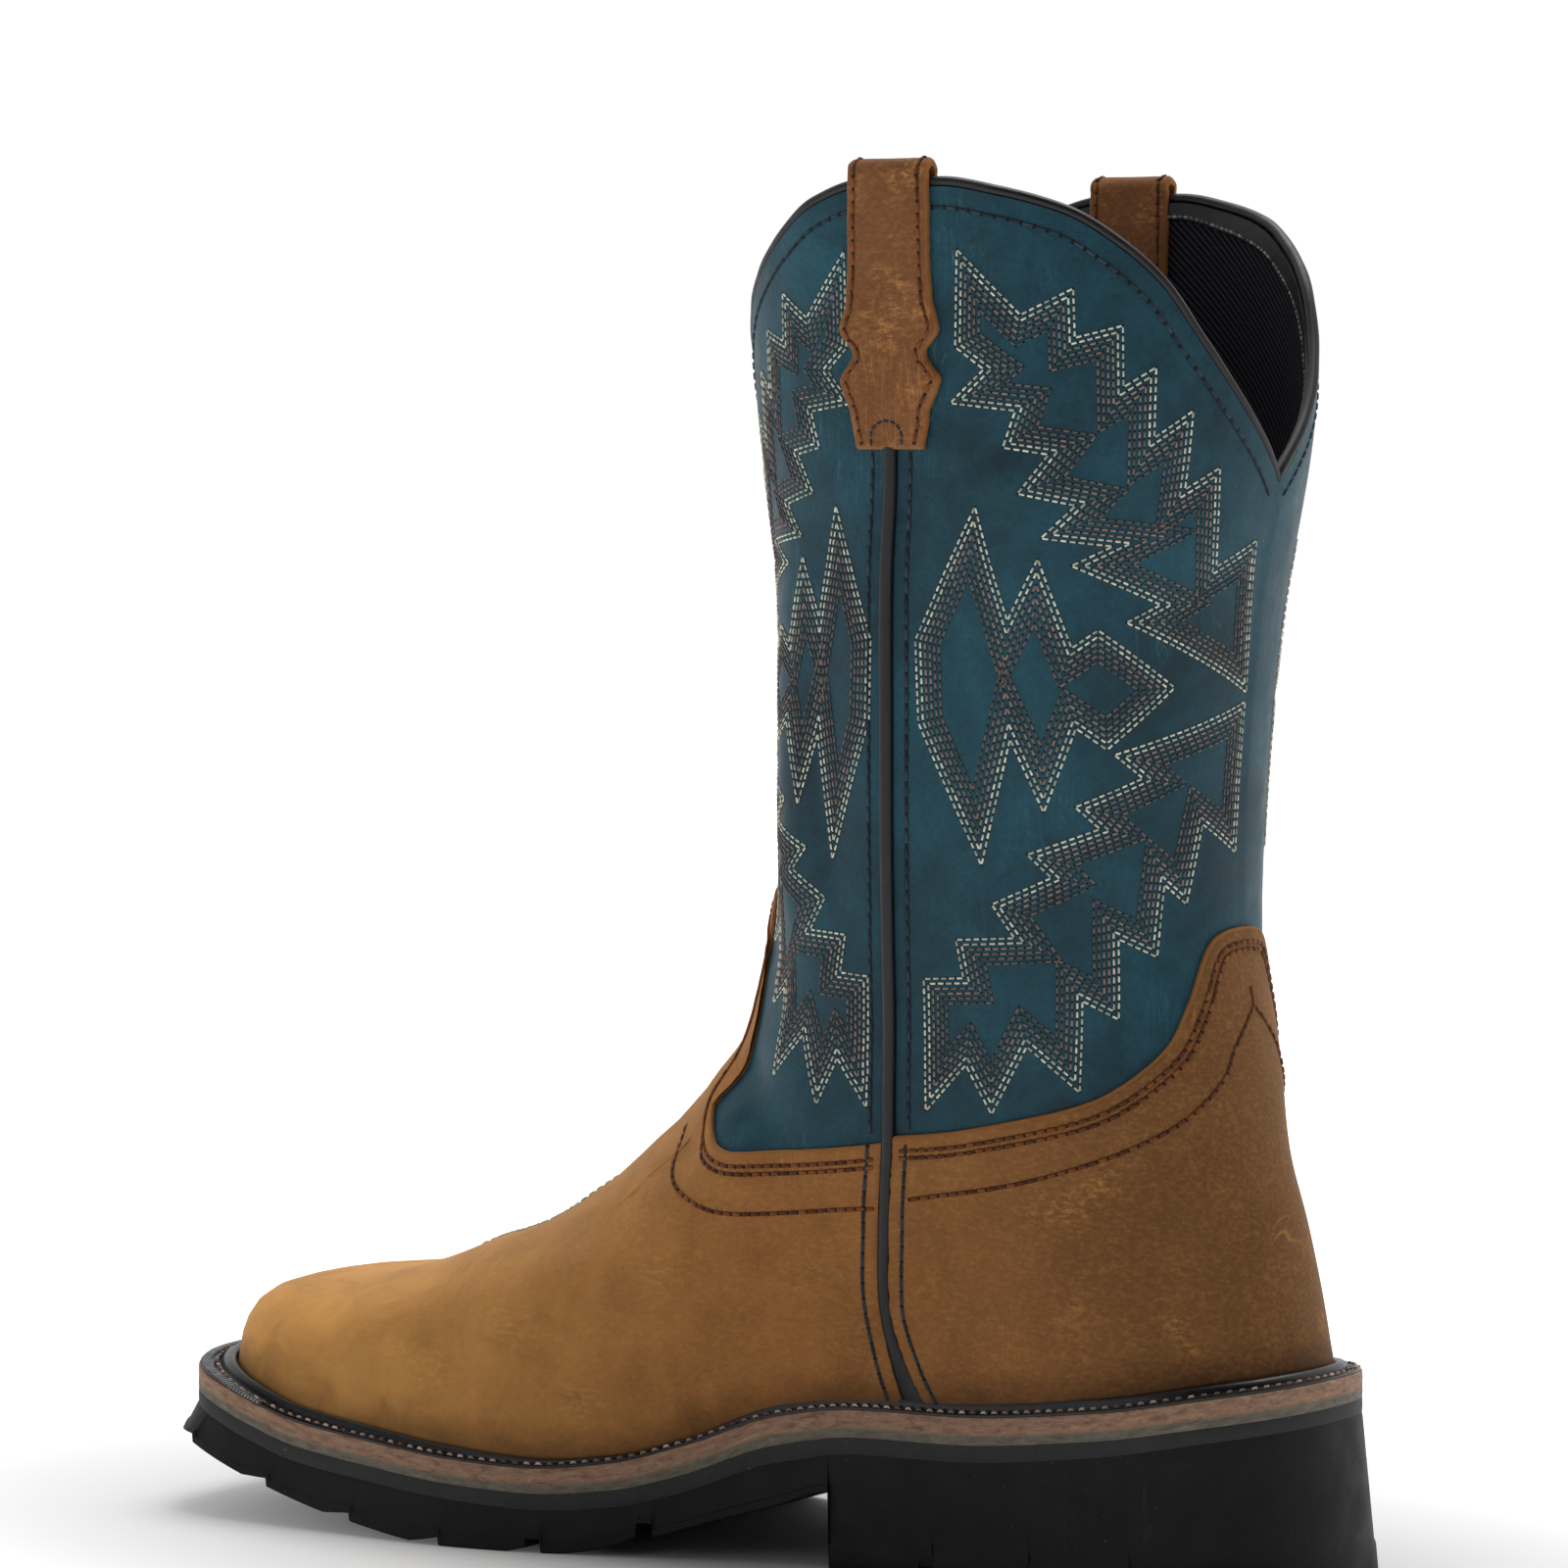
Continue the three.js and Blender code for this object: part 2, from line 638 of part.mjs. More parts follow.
// Saw-tooth steps and edge slots between the lugs
function lugCuts() {
  const cuts = [];
  const reachOut = soleBallWidth;
  const firstStep = soleX(0.963);
  const stepRun = lugPitch * 0.4;
  for (let x = firstStep; x > heelBreast + 2 * lugPitch; x -= lugPitch) {
    const z = treadHeight(x);
    cuts.push(sideBlock(
      [[x, z - lugPitch], [x + stepRun, z - lugPitch], [x + stepRun, treadHeight(x + stepRun)], [x, z + lugStep]],
      -reachOut,
      reachOut,
    ));
    cuts.push(...slotPair(x + lugGroove / 2, z + lugDepth, lugReach));
  }
  for (let x = heelBreast - lugPitch; x > soleBack + lugPitch / 2; x -= lugPitch) {
    cuts.push(...slotPair(x, lugDepth, lugReach));
  }
  return cuts;
}

// Two slots across the edges of the sole at x, up to a height
function slotPair(x, height, reach) {
  const rung = soleRungs(soleFlare, sideFlare)
    .reduce((best, item) => (Math.abs(item.x - x) < Math.abs(best.x - x) ? item : best));
  const outline = [
    [x - lugGroove / 2, height - lugPitch],
    [x + lugGroove / 2, height - lugPitch],
    [x + lugGroove / 2, height],
    [x - lugGroove / 2, height],
  ];
  return [
    sideBlock(outline, rung.outer - reach, soleBallWidth),
    sideBlock(outline, -soleBallWidth, rung.inner + reach),
  ];
}

// Point of a column at a height above the feather line, with its outward direction
function aboveFeather(columnIndex, height) {
  const foot = surface[ringRows][columnIndex];
  let low = 0.6;
  let high = 1;
  for (let i = 0; i < 30; i += 1) {
    const middle = (low + high) / 2;
    if (surfacePoint(middle, columnIndex).z - foot.z > height) low = middle;
    else high = middle;
  }
  return surfacePoint((low + high) / 2, columnIndex);
}

// Rand bead and stitched welt in one ring round the foot
function buildWelt() {
  const plan = {
    ...solePlan,
    toe: solePlan.toe * soleBallWidth - weltInset,
    ball: solePlan.ball * soleBallWidth - weltInset,
    waist: solePlan.waist * soleBallWidth - weltInset,
    heel: solePlan.heel * soleBallWidth - weltInset,
  };
  const body = halfWidthOf(plan);
  const front = soleX(1) - weltInset;
  const back = soleBack + weltInset;
  const stations = capStations(plan, frontCapSteps, sideSteps, backCapSteps);
  const rings = Array.from({ length: 7 }, () => []);
  for (let c = 0; c < ringColumns; c += 1) {
    const side = c > halfColumns ? -1 : 1;
    const { share, full } = stations[side > 0 ? c : ringColumns - c];
    const out = normals[ringRows][c].clone().setZ(0).normalize();
    const foot = surface[ringRows][c].clone().addScaledVector(out, randOut);
    const lip = aboveFeather(c, randHeight).addScaledVector(out, randOut);
    const edge = new THREE.Vector3(
      front + (back - front) * share,
      solePlan.swing * soleBallWidth * (1 - share) ** 2 + side * body(share) * full,
      0,
    );
    const onSole = (point, height) => point.clone().setZ(soleTop(point.x) + seatGap + height);
    const crown = lip.clone().addScaledVector(out, randWidth * 0.35);
    crown.z += randWidth * 0.2;
    const shoulder = lip.clone().addScaledVector(out, randWidth * 0.9);
    shoulder.z -= randWidth * 0.25;
    const root = foot.clone().addScaledVector(out, randWidth);
    rings[0].push(onSole(foot, 0));
    rings[1].push(lip);
    rings[2].push(crown);
    rings[3].push(shoulder);
    rings[4].push(onSole(root, weltThick));
    rings[5].push(onSole(edge, weltThick));
    rings[6].push(onSole(edge, 0));
  }
  return loopSolid(rings);
}

function buildInsole() {
  const inset = -(upperWall + insoleClear);
  const low = offsetRow(ringRows, inset);
  const rungs = [];
  for (let c = 0; c <= halfColumns; c += 1) {
    const other = low[(ringColumns - c) % ringColumns];
    rungs.push({ x: low[c].x, outer: low[c].y, inner: other.y });
  }
  const bottom = (x) => soleTop(x) + seatGap;
  const top = (x) => bottom(x) + insoleThick;
  return layer(rungs, top, rungs, bottom);
}

// Rolled binding on the topline
function buildBinding() {
  const sides = 6;
  const rings = Array.from({ length: sides }, () => []);
  const radius = beadWidth / 2;
  for (let c = 0; c < ringColumns; c += 1) {
    const ahead = surface[0][(c + 1) % ringColumns];
    const behind = surface[0][(c + ringColumns - 1) % ringColumns];
    const along = new THREE.Vector3().subVectors(ahead, behind).normalize();
    const across = normals[0][c];
    const up = new THREE.Vector3().crossVectors(across, along).normalize();
    if (up.z < 0) up.negate();
    const middle = surface[0][c].clone()
      .addScaledVector(across, -upperWall / 2)
      .addScaledVector(up, (fitGap + radius) / Math.max(up.z, 0.7));
    for (let s = 0; s < sides; s += 1) {
      const turn = (2 * Math.PI * s) / sides;
      rings[s].push(middle.clone()
        .addScaledVector(across, radius * Math.cos(turn))
        .addScaledVector(up, radius * Math.sin(turn)));
    }
  }
  return loopSolid(rings);
}

// Point of the boot's side at a place and height, with its outward direction
function sideAt(x, z, side) {
  const reach = (down) => {
    const section = sectionAt(down);
    const share = (section.frontX - x) / (section.frontX - section.backX);
    return pointOn(section, down, { share, full: fullAt(section, share) }, side);
  };
  let low = 0;
  let high = 1;
  for (let i = 0; i < 40; i += 1) {
    const middle = (low + high) / 2;
    if (reach(middle).z > z) low = middle;
    else high = middle;
  }
  const here = reach((low + high) / 2);
  const lower = reach(Math.min((low + high) / 2 + 0.01, 1));
  const higher = reach(Math.max((low + high) / 2 - 0.01, 0));
  const out = new THREE.Vector3(0, higher.z - lower.z, lower.y - higher.y).normalize();
  if (out.y * side < 0) out.negate();
  return { point: here, out };
}

// Cord in a side seam, from under the pull strap to the welt
function buildPiping(side) {
  const steps = 18;
  const topZ = levelZ(2) - strapDrop - fitGap;
  const bottomZ = soleTop(lastX(seamLine[seamLine.length - 1].along)) + randHeight + pipingWidth / 2;
  const profile = [
    [-0.5, 0], [-0.46, 0.6], [-0.22, 1], [0.22, 1], [0.46, 0.6], [0.5, 0],
  ];
  const height = overlayThickness + pipingHeight;
  const rows = [];
  for (let i = 0; i <= steps; i += 1) {
    const z = topZ + ((bottomZ - topZ) * i) / steps;
    rows.push(profile.map(([across, up]) => {
      const { point, out } = sideAt(seamX(z) + across * pipingWidth, z, side);
      return point.addScaledVector(out, fitGap + curveSeat + up * height);
    }));
  }
  return ribbonSolid(rows);
}

// Solid from rows of points that are each a closed outline, with flat ends
function ribbonSolid(rows) {
  const positions = [];
  const indices = [];
  const size = rows[0].length;
  for (const row of rows) {
    for (const point of row) positions.push(point.x, point.y, point.z);
  }
  for (let r = 0; r < rows.length - 1; r += 1) {
    for (let c = 0; c < size; c += 1) {
      const d = (c + 1) % size;
      const [p, q, s, t] = [r * size + c, r * size + d, (r + 1) * size + d, (r + 1) * size + c];
      indices.push(p, q, s, p, s, t);
    }
  }
  const lastRow = (rows.length - 1) * size;
  for (let c = 1; c < size - 1; c += 1) {
    indices.push(0, c + 1, c);
    indices.push(lastRow, lastRow + c, lastRow + c + 1);
  }
  return outward(geometryOf(positions, indices));
}

// Pull strap: up the outside, over the topline and down the inside
function buildStrap(side) {
  const half = smoothThrough(column(strapShape, 'up'), column(strapShape, 'half').map((s) => s * strapBand));
  const topZ = levelZ(2);
  const armZ = topZ + beadWidth + 2 * fitGap;
  const bend = upperWall / 2 + fitGap + curveSeat + strapThickness / 2;
  const stations = [];
  for (const { up } of strapShape) stations.push({ z: topZ - strapDrop * (1 - up), turn: 0 });
  stations.push({ z: armZ, turn: 0 });
  const bendSteps = 5;
  for (let i = 1; i < bendSteps; i += 1) stations.push({ z: armZ, turn: (Math.PI * i) / bendSteps });
  const innerSteps = 4;
  for (let i = 0; i <= innerSteps; i += 1) {
    stations.push({ z: armZ - ((armZ - topZ + strapInside) * i) / innerSteps, turn: Math.PI });
  }
  const middleX = seamX(topZ);
  const rows = stations.map(({ z, turn }) => {
    const up = Math.max(0, (z - topZ + strapDrop) / strapDrop);
    const width = half(turn > 0 ? 1 : Math.min(up, 1));
    const points = [];
    for (const layerSide of [1, -1]) {
      for (const across of layerSide > 0 ? [-1, -0.34, 0.34, 1] : [1, 0.34, -0.34, -1]) {
        const x = middleX + across * width;
        const { point } = sideAt(x, Math.min(z, topZ), side);
        const radius = bend + (layerSide * strapThickness) / 2;
        const wallMiddle = point.y - side * (upperWall / 2);
        points.push(new THREE.Vector3(
          x,
          wallMiddle + side * radius * Math.cos(turn),
          z + radius * Math.sin(turn),
        ));
      }
    }
    return points;
  });
  return ribbonSolid(rows);
}

const finishes = {
  shaft: { color: 0x1f4656, roughness: 0.62 },
  foot: { color: 0x8a5a2b, roughness: 0.7 },
  trim: { color: 0x141416, roughness: 0.5 },
  strap: { color: 0x7c4d27, roughness: 0.72 },
  midsole: { color: 0x7d5e50, roughness: 0.75 },
  rubberGrey: { color: 0x3a3b3c, roughness: 0.75 },
  rubberBlack: { color: 0x1b1b1c, roughness: 0.7 },
  insole: { color: 0x2c2b2a, roughness: 0.9 },
};

const boot = new THREE.Group();
boot.name = 'western_work_boot';

function add(name, geometry, finish) {
  const mesh = new THREE.Mesh(geometry, new THREE.MeshStandardMaterial({ ...finishes[finish], metalness: 0 }));
  mesh.name = name;
  boot.add(mesh);
}

add('upper', wall(0, -upperWall, 0), 'shaft');
add('vamp', buildOverlay(vampEdge, slotHalf, lastX(1.2)), 'foot');
add('counter', buildOverlay(counterEdge, -slotHalf, lastX(-0.2)), 'foot');
add('collar_binding', buildBinding(), 'trim');
add('side_piping_outer', buildPiping(1), 'trim');
add('side_piping_inner', buildPiping(-1), 'trim');
add('pull_strap_outer', buildStrap(1), 'strap');
add('pull_strap_inner', buildStrap(-1), 'strap');
add('insole', buildInsole(), 'insole');
add('welt', buildWelt(), 'trim');
add('midsole', layer(soleRungs(0, 0), soleTop, soleRungs(0, 0), midsoleBottom), 'midsole');
add('midsole_lower', layer(soleRungs(0, 0), rubberTop, soleRungs(0, 0), rubberBottom), 'rubberGrey');
add('outsole', buildOutsole(), 'rubberBlack');

export default boot;
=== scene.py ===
import bpy
import math
import numpy as np
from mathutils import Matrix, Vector
from mathutils.bvhtree import BVHTree


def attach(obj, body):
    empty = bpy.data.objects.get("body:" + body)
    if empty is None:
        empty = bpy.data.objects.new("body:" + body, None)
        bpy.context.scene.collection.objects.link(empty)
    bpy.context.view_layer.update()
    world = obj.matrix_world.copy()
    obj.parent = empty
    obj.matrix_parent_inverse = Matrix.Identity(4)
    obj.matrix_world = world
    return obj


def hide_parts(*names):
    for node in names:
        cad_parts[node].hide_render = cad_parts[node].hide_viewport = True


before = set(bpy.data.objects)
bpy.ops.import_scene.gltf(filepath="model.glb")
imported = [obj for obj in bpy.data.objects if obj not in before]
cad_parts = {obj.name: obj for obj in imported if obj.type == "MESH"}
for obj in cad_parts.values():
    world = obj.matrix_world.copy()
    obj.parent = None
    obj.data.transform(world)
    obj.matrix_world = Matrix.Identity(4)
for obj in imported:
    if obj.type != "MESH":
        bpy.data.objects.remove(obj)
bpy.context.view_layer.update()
print("frame loaded")

# Western work boot, left. Sizes are millimetres until a mesh is made.
# +X to the toe, +Y to the outer side, +Z up, origin on the floor under the heel.
last = {
    "length": 280, "behind": 29.5, "ballWidth": 100, "seatHeight": 38, "instepRise": 62,
    "shaftRise": 217.5, "shaftDepth": 134, "shaftWidth": 114, "shaftAlong": 0.27,
    "scallopDepth": 66, "wall": 2.2, "overlay": 1.7, "seatGap": 0.6,
}
soleSize = {
    "back": -36, "length": 298, "width": 111, "heelHeight": 49, "ballHeight": 19.5,
    "midsole": 6.5, "rubber": 3.6, "archHeight": 20, "toeSpring": 20, "heelBreast": 77,
    "flare": 4, "sideFlare": 1.2, "gap": 0.3,
}


def lastX(share):
    return -last["behind"] + np.asarray(share, float) * last["length"]


def soleX(share):
    return soleSize["back"] + np.asarray(share, float) * soleSize["length"]


def levelZ(level):
    level = np.asarray(level, float)
    low = last["seatHeight"] + np.minimum(level, 1) * last["instepRise"]
    return low + np.maximum(level - 1, 0) * last["shaftRise"]


def cubicSlopes(xs, ys):  # slopes that never swing past the points; ys may carry several curves side by side
    gap = np.diff(xs).reshape(-1, *[1] * (ys.ndim - 1))
    rise = np.diff(ys, axis=0) / gap
    product = rise[:-1] * rise[1:]
    total = rise[:-1] + rise[1:]
    middle = np.where(product > 0, 2 * product / np.where(total == 0, 1, total), 0)
    return np.concatenate([rise[:1], middle, rise[-1:]])


def smoothThrough(xs, ys):
    xs, ys = np.array(xs, float), np.array(ys, float)
    slope = cubicSlopes(xs, ys)

    def curve(x):
        x = np.asarray(x, float)
        i = np.clip(np.searchsorted(xs, x, side="right") - 1, 0, len(xs) - 2)
        span = xs[i + 1] - xs[i]
        f = (x - xs[i]) / span
        g = 1 - f
        inside = ys[i] * g * g * (1 + 2 * f) + ys[i + 1] * f * f * (1 + 2 * g)
        inside = inside + span * f * g * (slope[i] * g - slope[i + 1] * f)
        low = ys[0] + slope[0] * (x - xs[0])
        high = ys[-1] + slope[-1] * (x - xs[-1])
        return np.where(x <= xs[0], low, np.where(x >= xs[-1], high, inside))

    return curve


# Side of the sole, heel to toe: along, top, midsole and rubber as shares of the sizes above
soleSide = np.array([
    [0, 1, 0.95, 0.85], [0.06, 0.912, 0.95, 0.88], [0.148, 0.763, 0.95, 0.95],
    [0.272, 0.635, 0.97, 1], [0.356, 0.617, 0.97, 1], [0.43, 0.51, 1.02, 1.05],
    [0.503, 0.24, 1.02, 1.05], [0.56, 0.078, 0.96, 1.02], [0.624, 0.01, 0.9, 0.97],
    [0.695, 0.038, 0.88, 0.93], [0.775, 0.115, 0.88, 0.93], [0.852, 0.205, 0.88, 0.95],
    [0.909, 0.355, 0.88, 0.95], [0.943, 0.455, 0.87, 0.93], [1, 0.585, 0.87, 0.9],
])
# Tread line: along, and shares of arch height and toe spring
treadLine = np.array([
    [0, 0.9, 0], [0.379, 0.9, 0], [0.43, 0.67, 0], [0.47, 0.5, 0], [0.54, 0.18, 0], [0.604, 0, 0],
    [0.695, 0, 0], [0.805, 0, 0.21], [0.893, 0, 0.52], [0.977, 0, 0.9], [1.014, 0, 1],
])
soleAlong = soleX(soleSide[:, 0])
soleRise = soleSize["heelHeight"] - soleSize["ballHeight"]
soleTop = smoothThrough(soleAlong, soleSize["ballHeight"] + soleSide[:, 1] * soleRise)
midsoleDepth = smoothThrough(soleAlong, soleSide[:, 2] * soleSize["midsole"])
rubberDepth = smoothThrough(soleAlong, soleSide[:, 3] * soleSize["rubber"])
treadHeight = smoothThrough(
    soleX(treadLine[:, 0]),
    treadLine[:, 1] * soleSize["archHeight"] + treadLine[:, 2] * soleSize["toeSpring"],
)

# Sections of shaft and foot from the topline down: front and back end (along, level), half widths
# at toe, ball, waist and heel, share and power of the rounded front and back, swing
shaftSections = [
    [0.504, 2.000, -0.500, 2.000, 0.482, 0.500, 0.500, 0.482, 0.44, 2.1, 0.44, 2.1, 0],
    [0.477, 1.773, -0.504, 1.773, 0.474, 0.491, 0.491, 0.474, 0.44, 2.1, 0.44, 2.1, 0],
    [0.431, 1.561, -0.446, 1.561, 0.456, 0.474, 0.465, 0.447, 0.44, 2.1, 0.44, 2.1, 0],
    [0.442, 1.368, -0.418, 1.368, 0.439, 0.456, 0.447, 0.421, 0.44, 2.1, 0.44, 2.1, 0],
    [0.459, 1.221, -0.418, 1.207, 0.421, 0.439, 0.421, 0.386, 0.44, 2.1, 0.44, 2.1, 0],
    [0.510, 1.110, -0.453, 1.078, 0.386, 0.404, 0.386, 0.342, 0.42, 2.1, 0.42, 2.1, 0],
]
footSections = [
    [0.574, 1.015, 0.043, 0.952, 0.380, 0.430, 0.400, 0.360, 0.36, 2.1, 0.36, 2.1, 0],
    [0.698, 0.600, 0.027, 0.710, 0.360, 0.430, 0.380, 0.350, 0.28, 2.1, 0.28, 2.1, 0],
    [0.777, 0.448, 0.016, 0.500, 0.360, 0.470, 0.370, 0.350, 0.22, 2.2, 0.24, 2.1, 0.02],
    [0.858, 0.316, 0.009, 0.355, 0.370, 0.490, 0.360, 0.350, 0.17, 2.5, 0.22, 2.1, 0.03],
    [0.991, 0.218, 0.004, 0.266, 0.390, 0.500, 0.355, 0.340, 0.15, 2.8, 0.20, 2.1, 0.04],
    [1.010, 0.000, 0.000, 0.000, 0.410, 0.502, 0.325, 0.330, 0.15, 3.2, 0.20, 2.2, 0.05],
]
widthStations = np.array([0, 0.3, 0.62, 0.88, 1])


def sizedSections():
    rows = np.array(shaftSections + footSections, float)
    shaft = np.arange(len(rows)) < len(shaftSections)
    middle = lastX(last["shaftAlong"])
    for end in (0, 2):
        rows[:, end] = np.where(shaft, middle + rows[:, end] * last["shaftDepth"], lastX(rows[:, end]))
    rows[:, [1, 3]] = levelZ(rows[:, [1, 3]])
    rows[:, [4, 5, 6, 7, 12]] *= np.where(shaft, last["shaftWidth"], last["ballWidth"])[:, None]
    rows[-1, 1], rows[-1, 3] = soleTop(rows[-1, 0]), soleTop(rows[-1, 2])
    return rows


sections = sizedSections()


def between(a, b, c, d, f):  # smooth curve from b to c, with a before them and d after
    bend = (2 * a - 5 * b + 4 * c - d) * f * f + (3 * b - a - 3 * c + d) * f ** 3
    return 0.5 * (2 * b + (c - a) * f + bend)


def sectionAt(down):
    count = len(sections) - 1
    place = np.minimum(np.clip(down, 0, 1) * count, count - 1e-9)
    i = place.astype(int)
    f = (place - i)[..., None]
    before, after = sections[np.maximum(i - 1, 0)], sections[np.minimum(i + 2, count)]
    return between(before, sections[i], sections[i + 1], after, f)


def widthAt(section, share):
    ys = np.moveaxis(section[..., [4, 5, 6, 7, 7]], -1, 0)
    slope = cubicSlopes(widthStations, ys)
    i = np.clip(np.searchsorted(widthStations, share, side="right") - 1, 0, 3)
    pick = lambda table, k: np.take_along_axis(table, k[None], 0)[0]
    span = widthStations[i + 1] - widthStations[i]
    f = (share - widthStations[i]) / span
    g = 1 - f
    wide = pick(ys, i) * g * g * (1 + 2 * f) + pick(ys, i + 1) * f * f * (1 + 2 * g)
    return wide + span * f * g * (pick(slope, i) * g - pick(slope, i + 1) * f)


def pointFrom(section, down, share, full, side):
    frontX, frontZ, backX, backZ = np.moveaxis(section[..., :4], -1, 0)
    x = frontX + (backX - frontX) * share
    k = np.clip((down - 0.6) / 0.4, 0, 1)
    frontSole = soleTop(frontX)
    chord = frontSole + (soleTop(backX) - frontSole) * share
    z = frontZ + (backZ - frontZ) * share + k * k * (3 - 2 * k) * (soleTop(x) - chord)
    y = section[..., 12] * (1 - share) ** 2 + side * widthAt(section, share) * full
    return np.stack([x, y, z], -1)


# Round a section, 0 is the front centre, 7/23 to 17/23 the side, 1 the back centre
def stationAt(section, turn):
    c = np.clip(turn, 0, 1) * 23
    frontCap, frontPower, backCap, backPower = np.moveaxis(section[..., 8:12], -1, 0)
    front = np.pi / 2 * np.clip(c / 7, 0, 1)
    back = np.pi / 2 * np.clip((23 - c) / 6, 0, 1)
    shareFront = frontCap * (1 - np.abs(np.cos(front)) ** (2 / frontPower))
    shareBack = 1 - backCap * (1 - np.abs(np.cos(back)) ** (2 / backPower))
    shareSide = frontCap + (1 - frontCap - backCap) * np.clip((c - 7) / 10, 0, 1)
    share = np.where(c < 7, shareFront, np.where(c > 17, shareBack, shareSide))
    return share, np.sin(front) ** (2 / frontPower) * np.sin(back) ** (2 / backPower)


def turnOf(section, share):  # the way back from a share of the section's length
    frontCap, frontPower, backCap, backPower = np.moveaxis(section[..., 8:12], -1, 0)
    share = np.clip(share, 0, 1)
    near = np.clip(1 - share / frontCap, 0, 1) ** (frontPower / 2)
    far = np.clip(1 - (1 - share) / backCap, 0, 1) ** (backPower / 2)
    c = 7 + 10 * (share - frontCap) / (1 - frontCap - backCap)
    c = np.where(share < frontCap, 7 * np.arccos(near) / (np.pi / 2), c)
    c = np.where(share > 1 - backCap, 23 - 6 * np.arccos(far) / (np.pi / 2), c)
    return c / 23


def bare(down, turn, side):
    down, turn, side = np.broadcast_arrays(np.asarray(down, float), np.asarray(turn, float), side)
    section = sectionAt(down)
    share, full = stationAt(section, turn)
    return pointFrom(section, down, share, full, side)


def unit(v):
    return v / np.maximum(np.linalg.norm(v, axis=-1, keepdims=True), 1e-12)


def travelled(points):  # distance from the first point, along a line of points
    return np.concatenate([[0], np.cumsum(np.linalg.norm(np.diff(points, axis=0), axis=1))])


def normalAt(down, turn, side):
    down, turn, side = np.broadcast_arrays(np.asarray(down, float), np.asarray(turn, float), side)
    lower, upper = np.minimum(down + 0.003, 1), np.maximum(down - 0.003, 0)
    ahead, behind = np.minimum(turn + 0.005, 1), np.maximum(turn - 0.005, 0)
    along = bare(down, ahead, side) - bare(down, behind, side)
    fall = bare(lower, turn, side) - bare(upper, turn, side)
    return unit(np.cross(fall, along) * np.asarray(side)[..., None])


def downWhere(isAbove, shape, lowest):  # by halving, the way down at which a test stops being true
    low, high = np.zeros(shape), np.full(shape, lowest)
    halvings = 34
    for _ in range(halvings):
        middle = (low + high) / 2
        above = isAbove(middle)
        low, high = np.where(above, middle, low), np.where(above, high, middle)
    return (low + high) / 2


# Place on the leather seen from the side: x and height to down and turn
def sideParam(x, z):
    x, z = np.broadcast_arrays(np.asarray(x, float), np.asarray(z, float))
    shareOf = lambda section: (section[..., 0] - x) / (section[..., 0] - section[..., 2])

    def isAbove(down):
        section = sectionAt(down)
        return pointFrom(section, down, np.clip(shareOf(section), 0, 1), 0, 1)[..., 2] > z

    down = downWhere(isAbove, x.shape, 1.0)
    section = sectionAt(down)
    return down, turnOf(section, shareOf(section))

# Creases pressed in, one to a row: path of x and height, depth (minus is a trough) and
# half width in mm, side 1 outer, -1 inner, 0 both
creases = [
    ([(84, 96), (96, 106), (104, 120)], -1.1, 8, 0),
    ([(102, 101), (112, 108), (120, 112)], 0.8, 6, 0),
    ([(112, 92), (124, 95), (136, 95)], -0.9, 5, 0),
    ([(128, 82), (142, 86), (156, 86)], -0.6, 6, 0),
    ([(92, 132), (98, 165), (100, 200)], -1.2, 8, 1),
    ([(70, 150), (72, 200), (68, 250)], -1.1, 9, 1),
    ([(84, 140), (86, 190), (84, 240)], 0.9, 8, 1),
    ([(66, 160), (74, 205), (70, 260)], -0.9, 11, -1),
    ([(86, 135), (90, 175), (86, 215)], 0.8, 9, -1),
    ([(8, 118), (2, 140), (4, 165)], -0.9, 10, 1),
    ([(20, 180), (10, 215), (14, 262)], 0.8, 14, 1),
    ([(34, 150), (30, 190), (34, 230)], -0.7, 12, 1),
    ([(10, 125), (12, 170), (8, 220)], -0.8, 13, -1),
    ([(30, 84), (10, 92), (-8, 104)], -0.5, 7, 0),
    ([(150, 60), (170, 52), (190, 47)], -0.4, 9, 1),
    ([(118, 66), (140, 60), (160, 50)], -0.5, 10, -1),
]
# Rubbed places, where the wax has gone pale: same rows, with how strong in place of depth
scuffs = [
    ([(196, 45), (186, 43), (172, 40)], 0.9, 4, 1),
    ([(206, 52), (200, 46)], 0.6, 5, 1),
    ([(168, 62), (160, 52), (152, 50)], 0.7, 4, 1),
    ([(142, 36), (132, 38)], 0.7, 3, 1),
    ([(128, 74), (118, 68), (112, 66)], 0.5, 6, 1),
    ([(26, 86), (14, 88), (6, 96)], 0.7, 4, 1),
    ([(-6, 66), (-10, 58), (-12, 54)], 0.6, 2, 1),
    ([(20, 60), (8, 66)], 0.4, 5, 1),
    ([(190, 50), (176, 44), (160, 44)], 0.8, 5, -1),
    ([(150, 60), (136, 56)], 0.6, 5, -1),
    ([(20, 76), (6, 84)], 0.5, 5, -1),
    ([(235, 46), (222, 55), (208, 60)], 0.5, 9, 0),
]


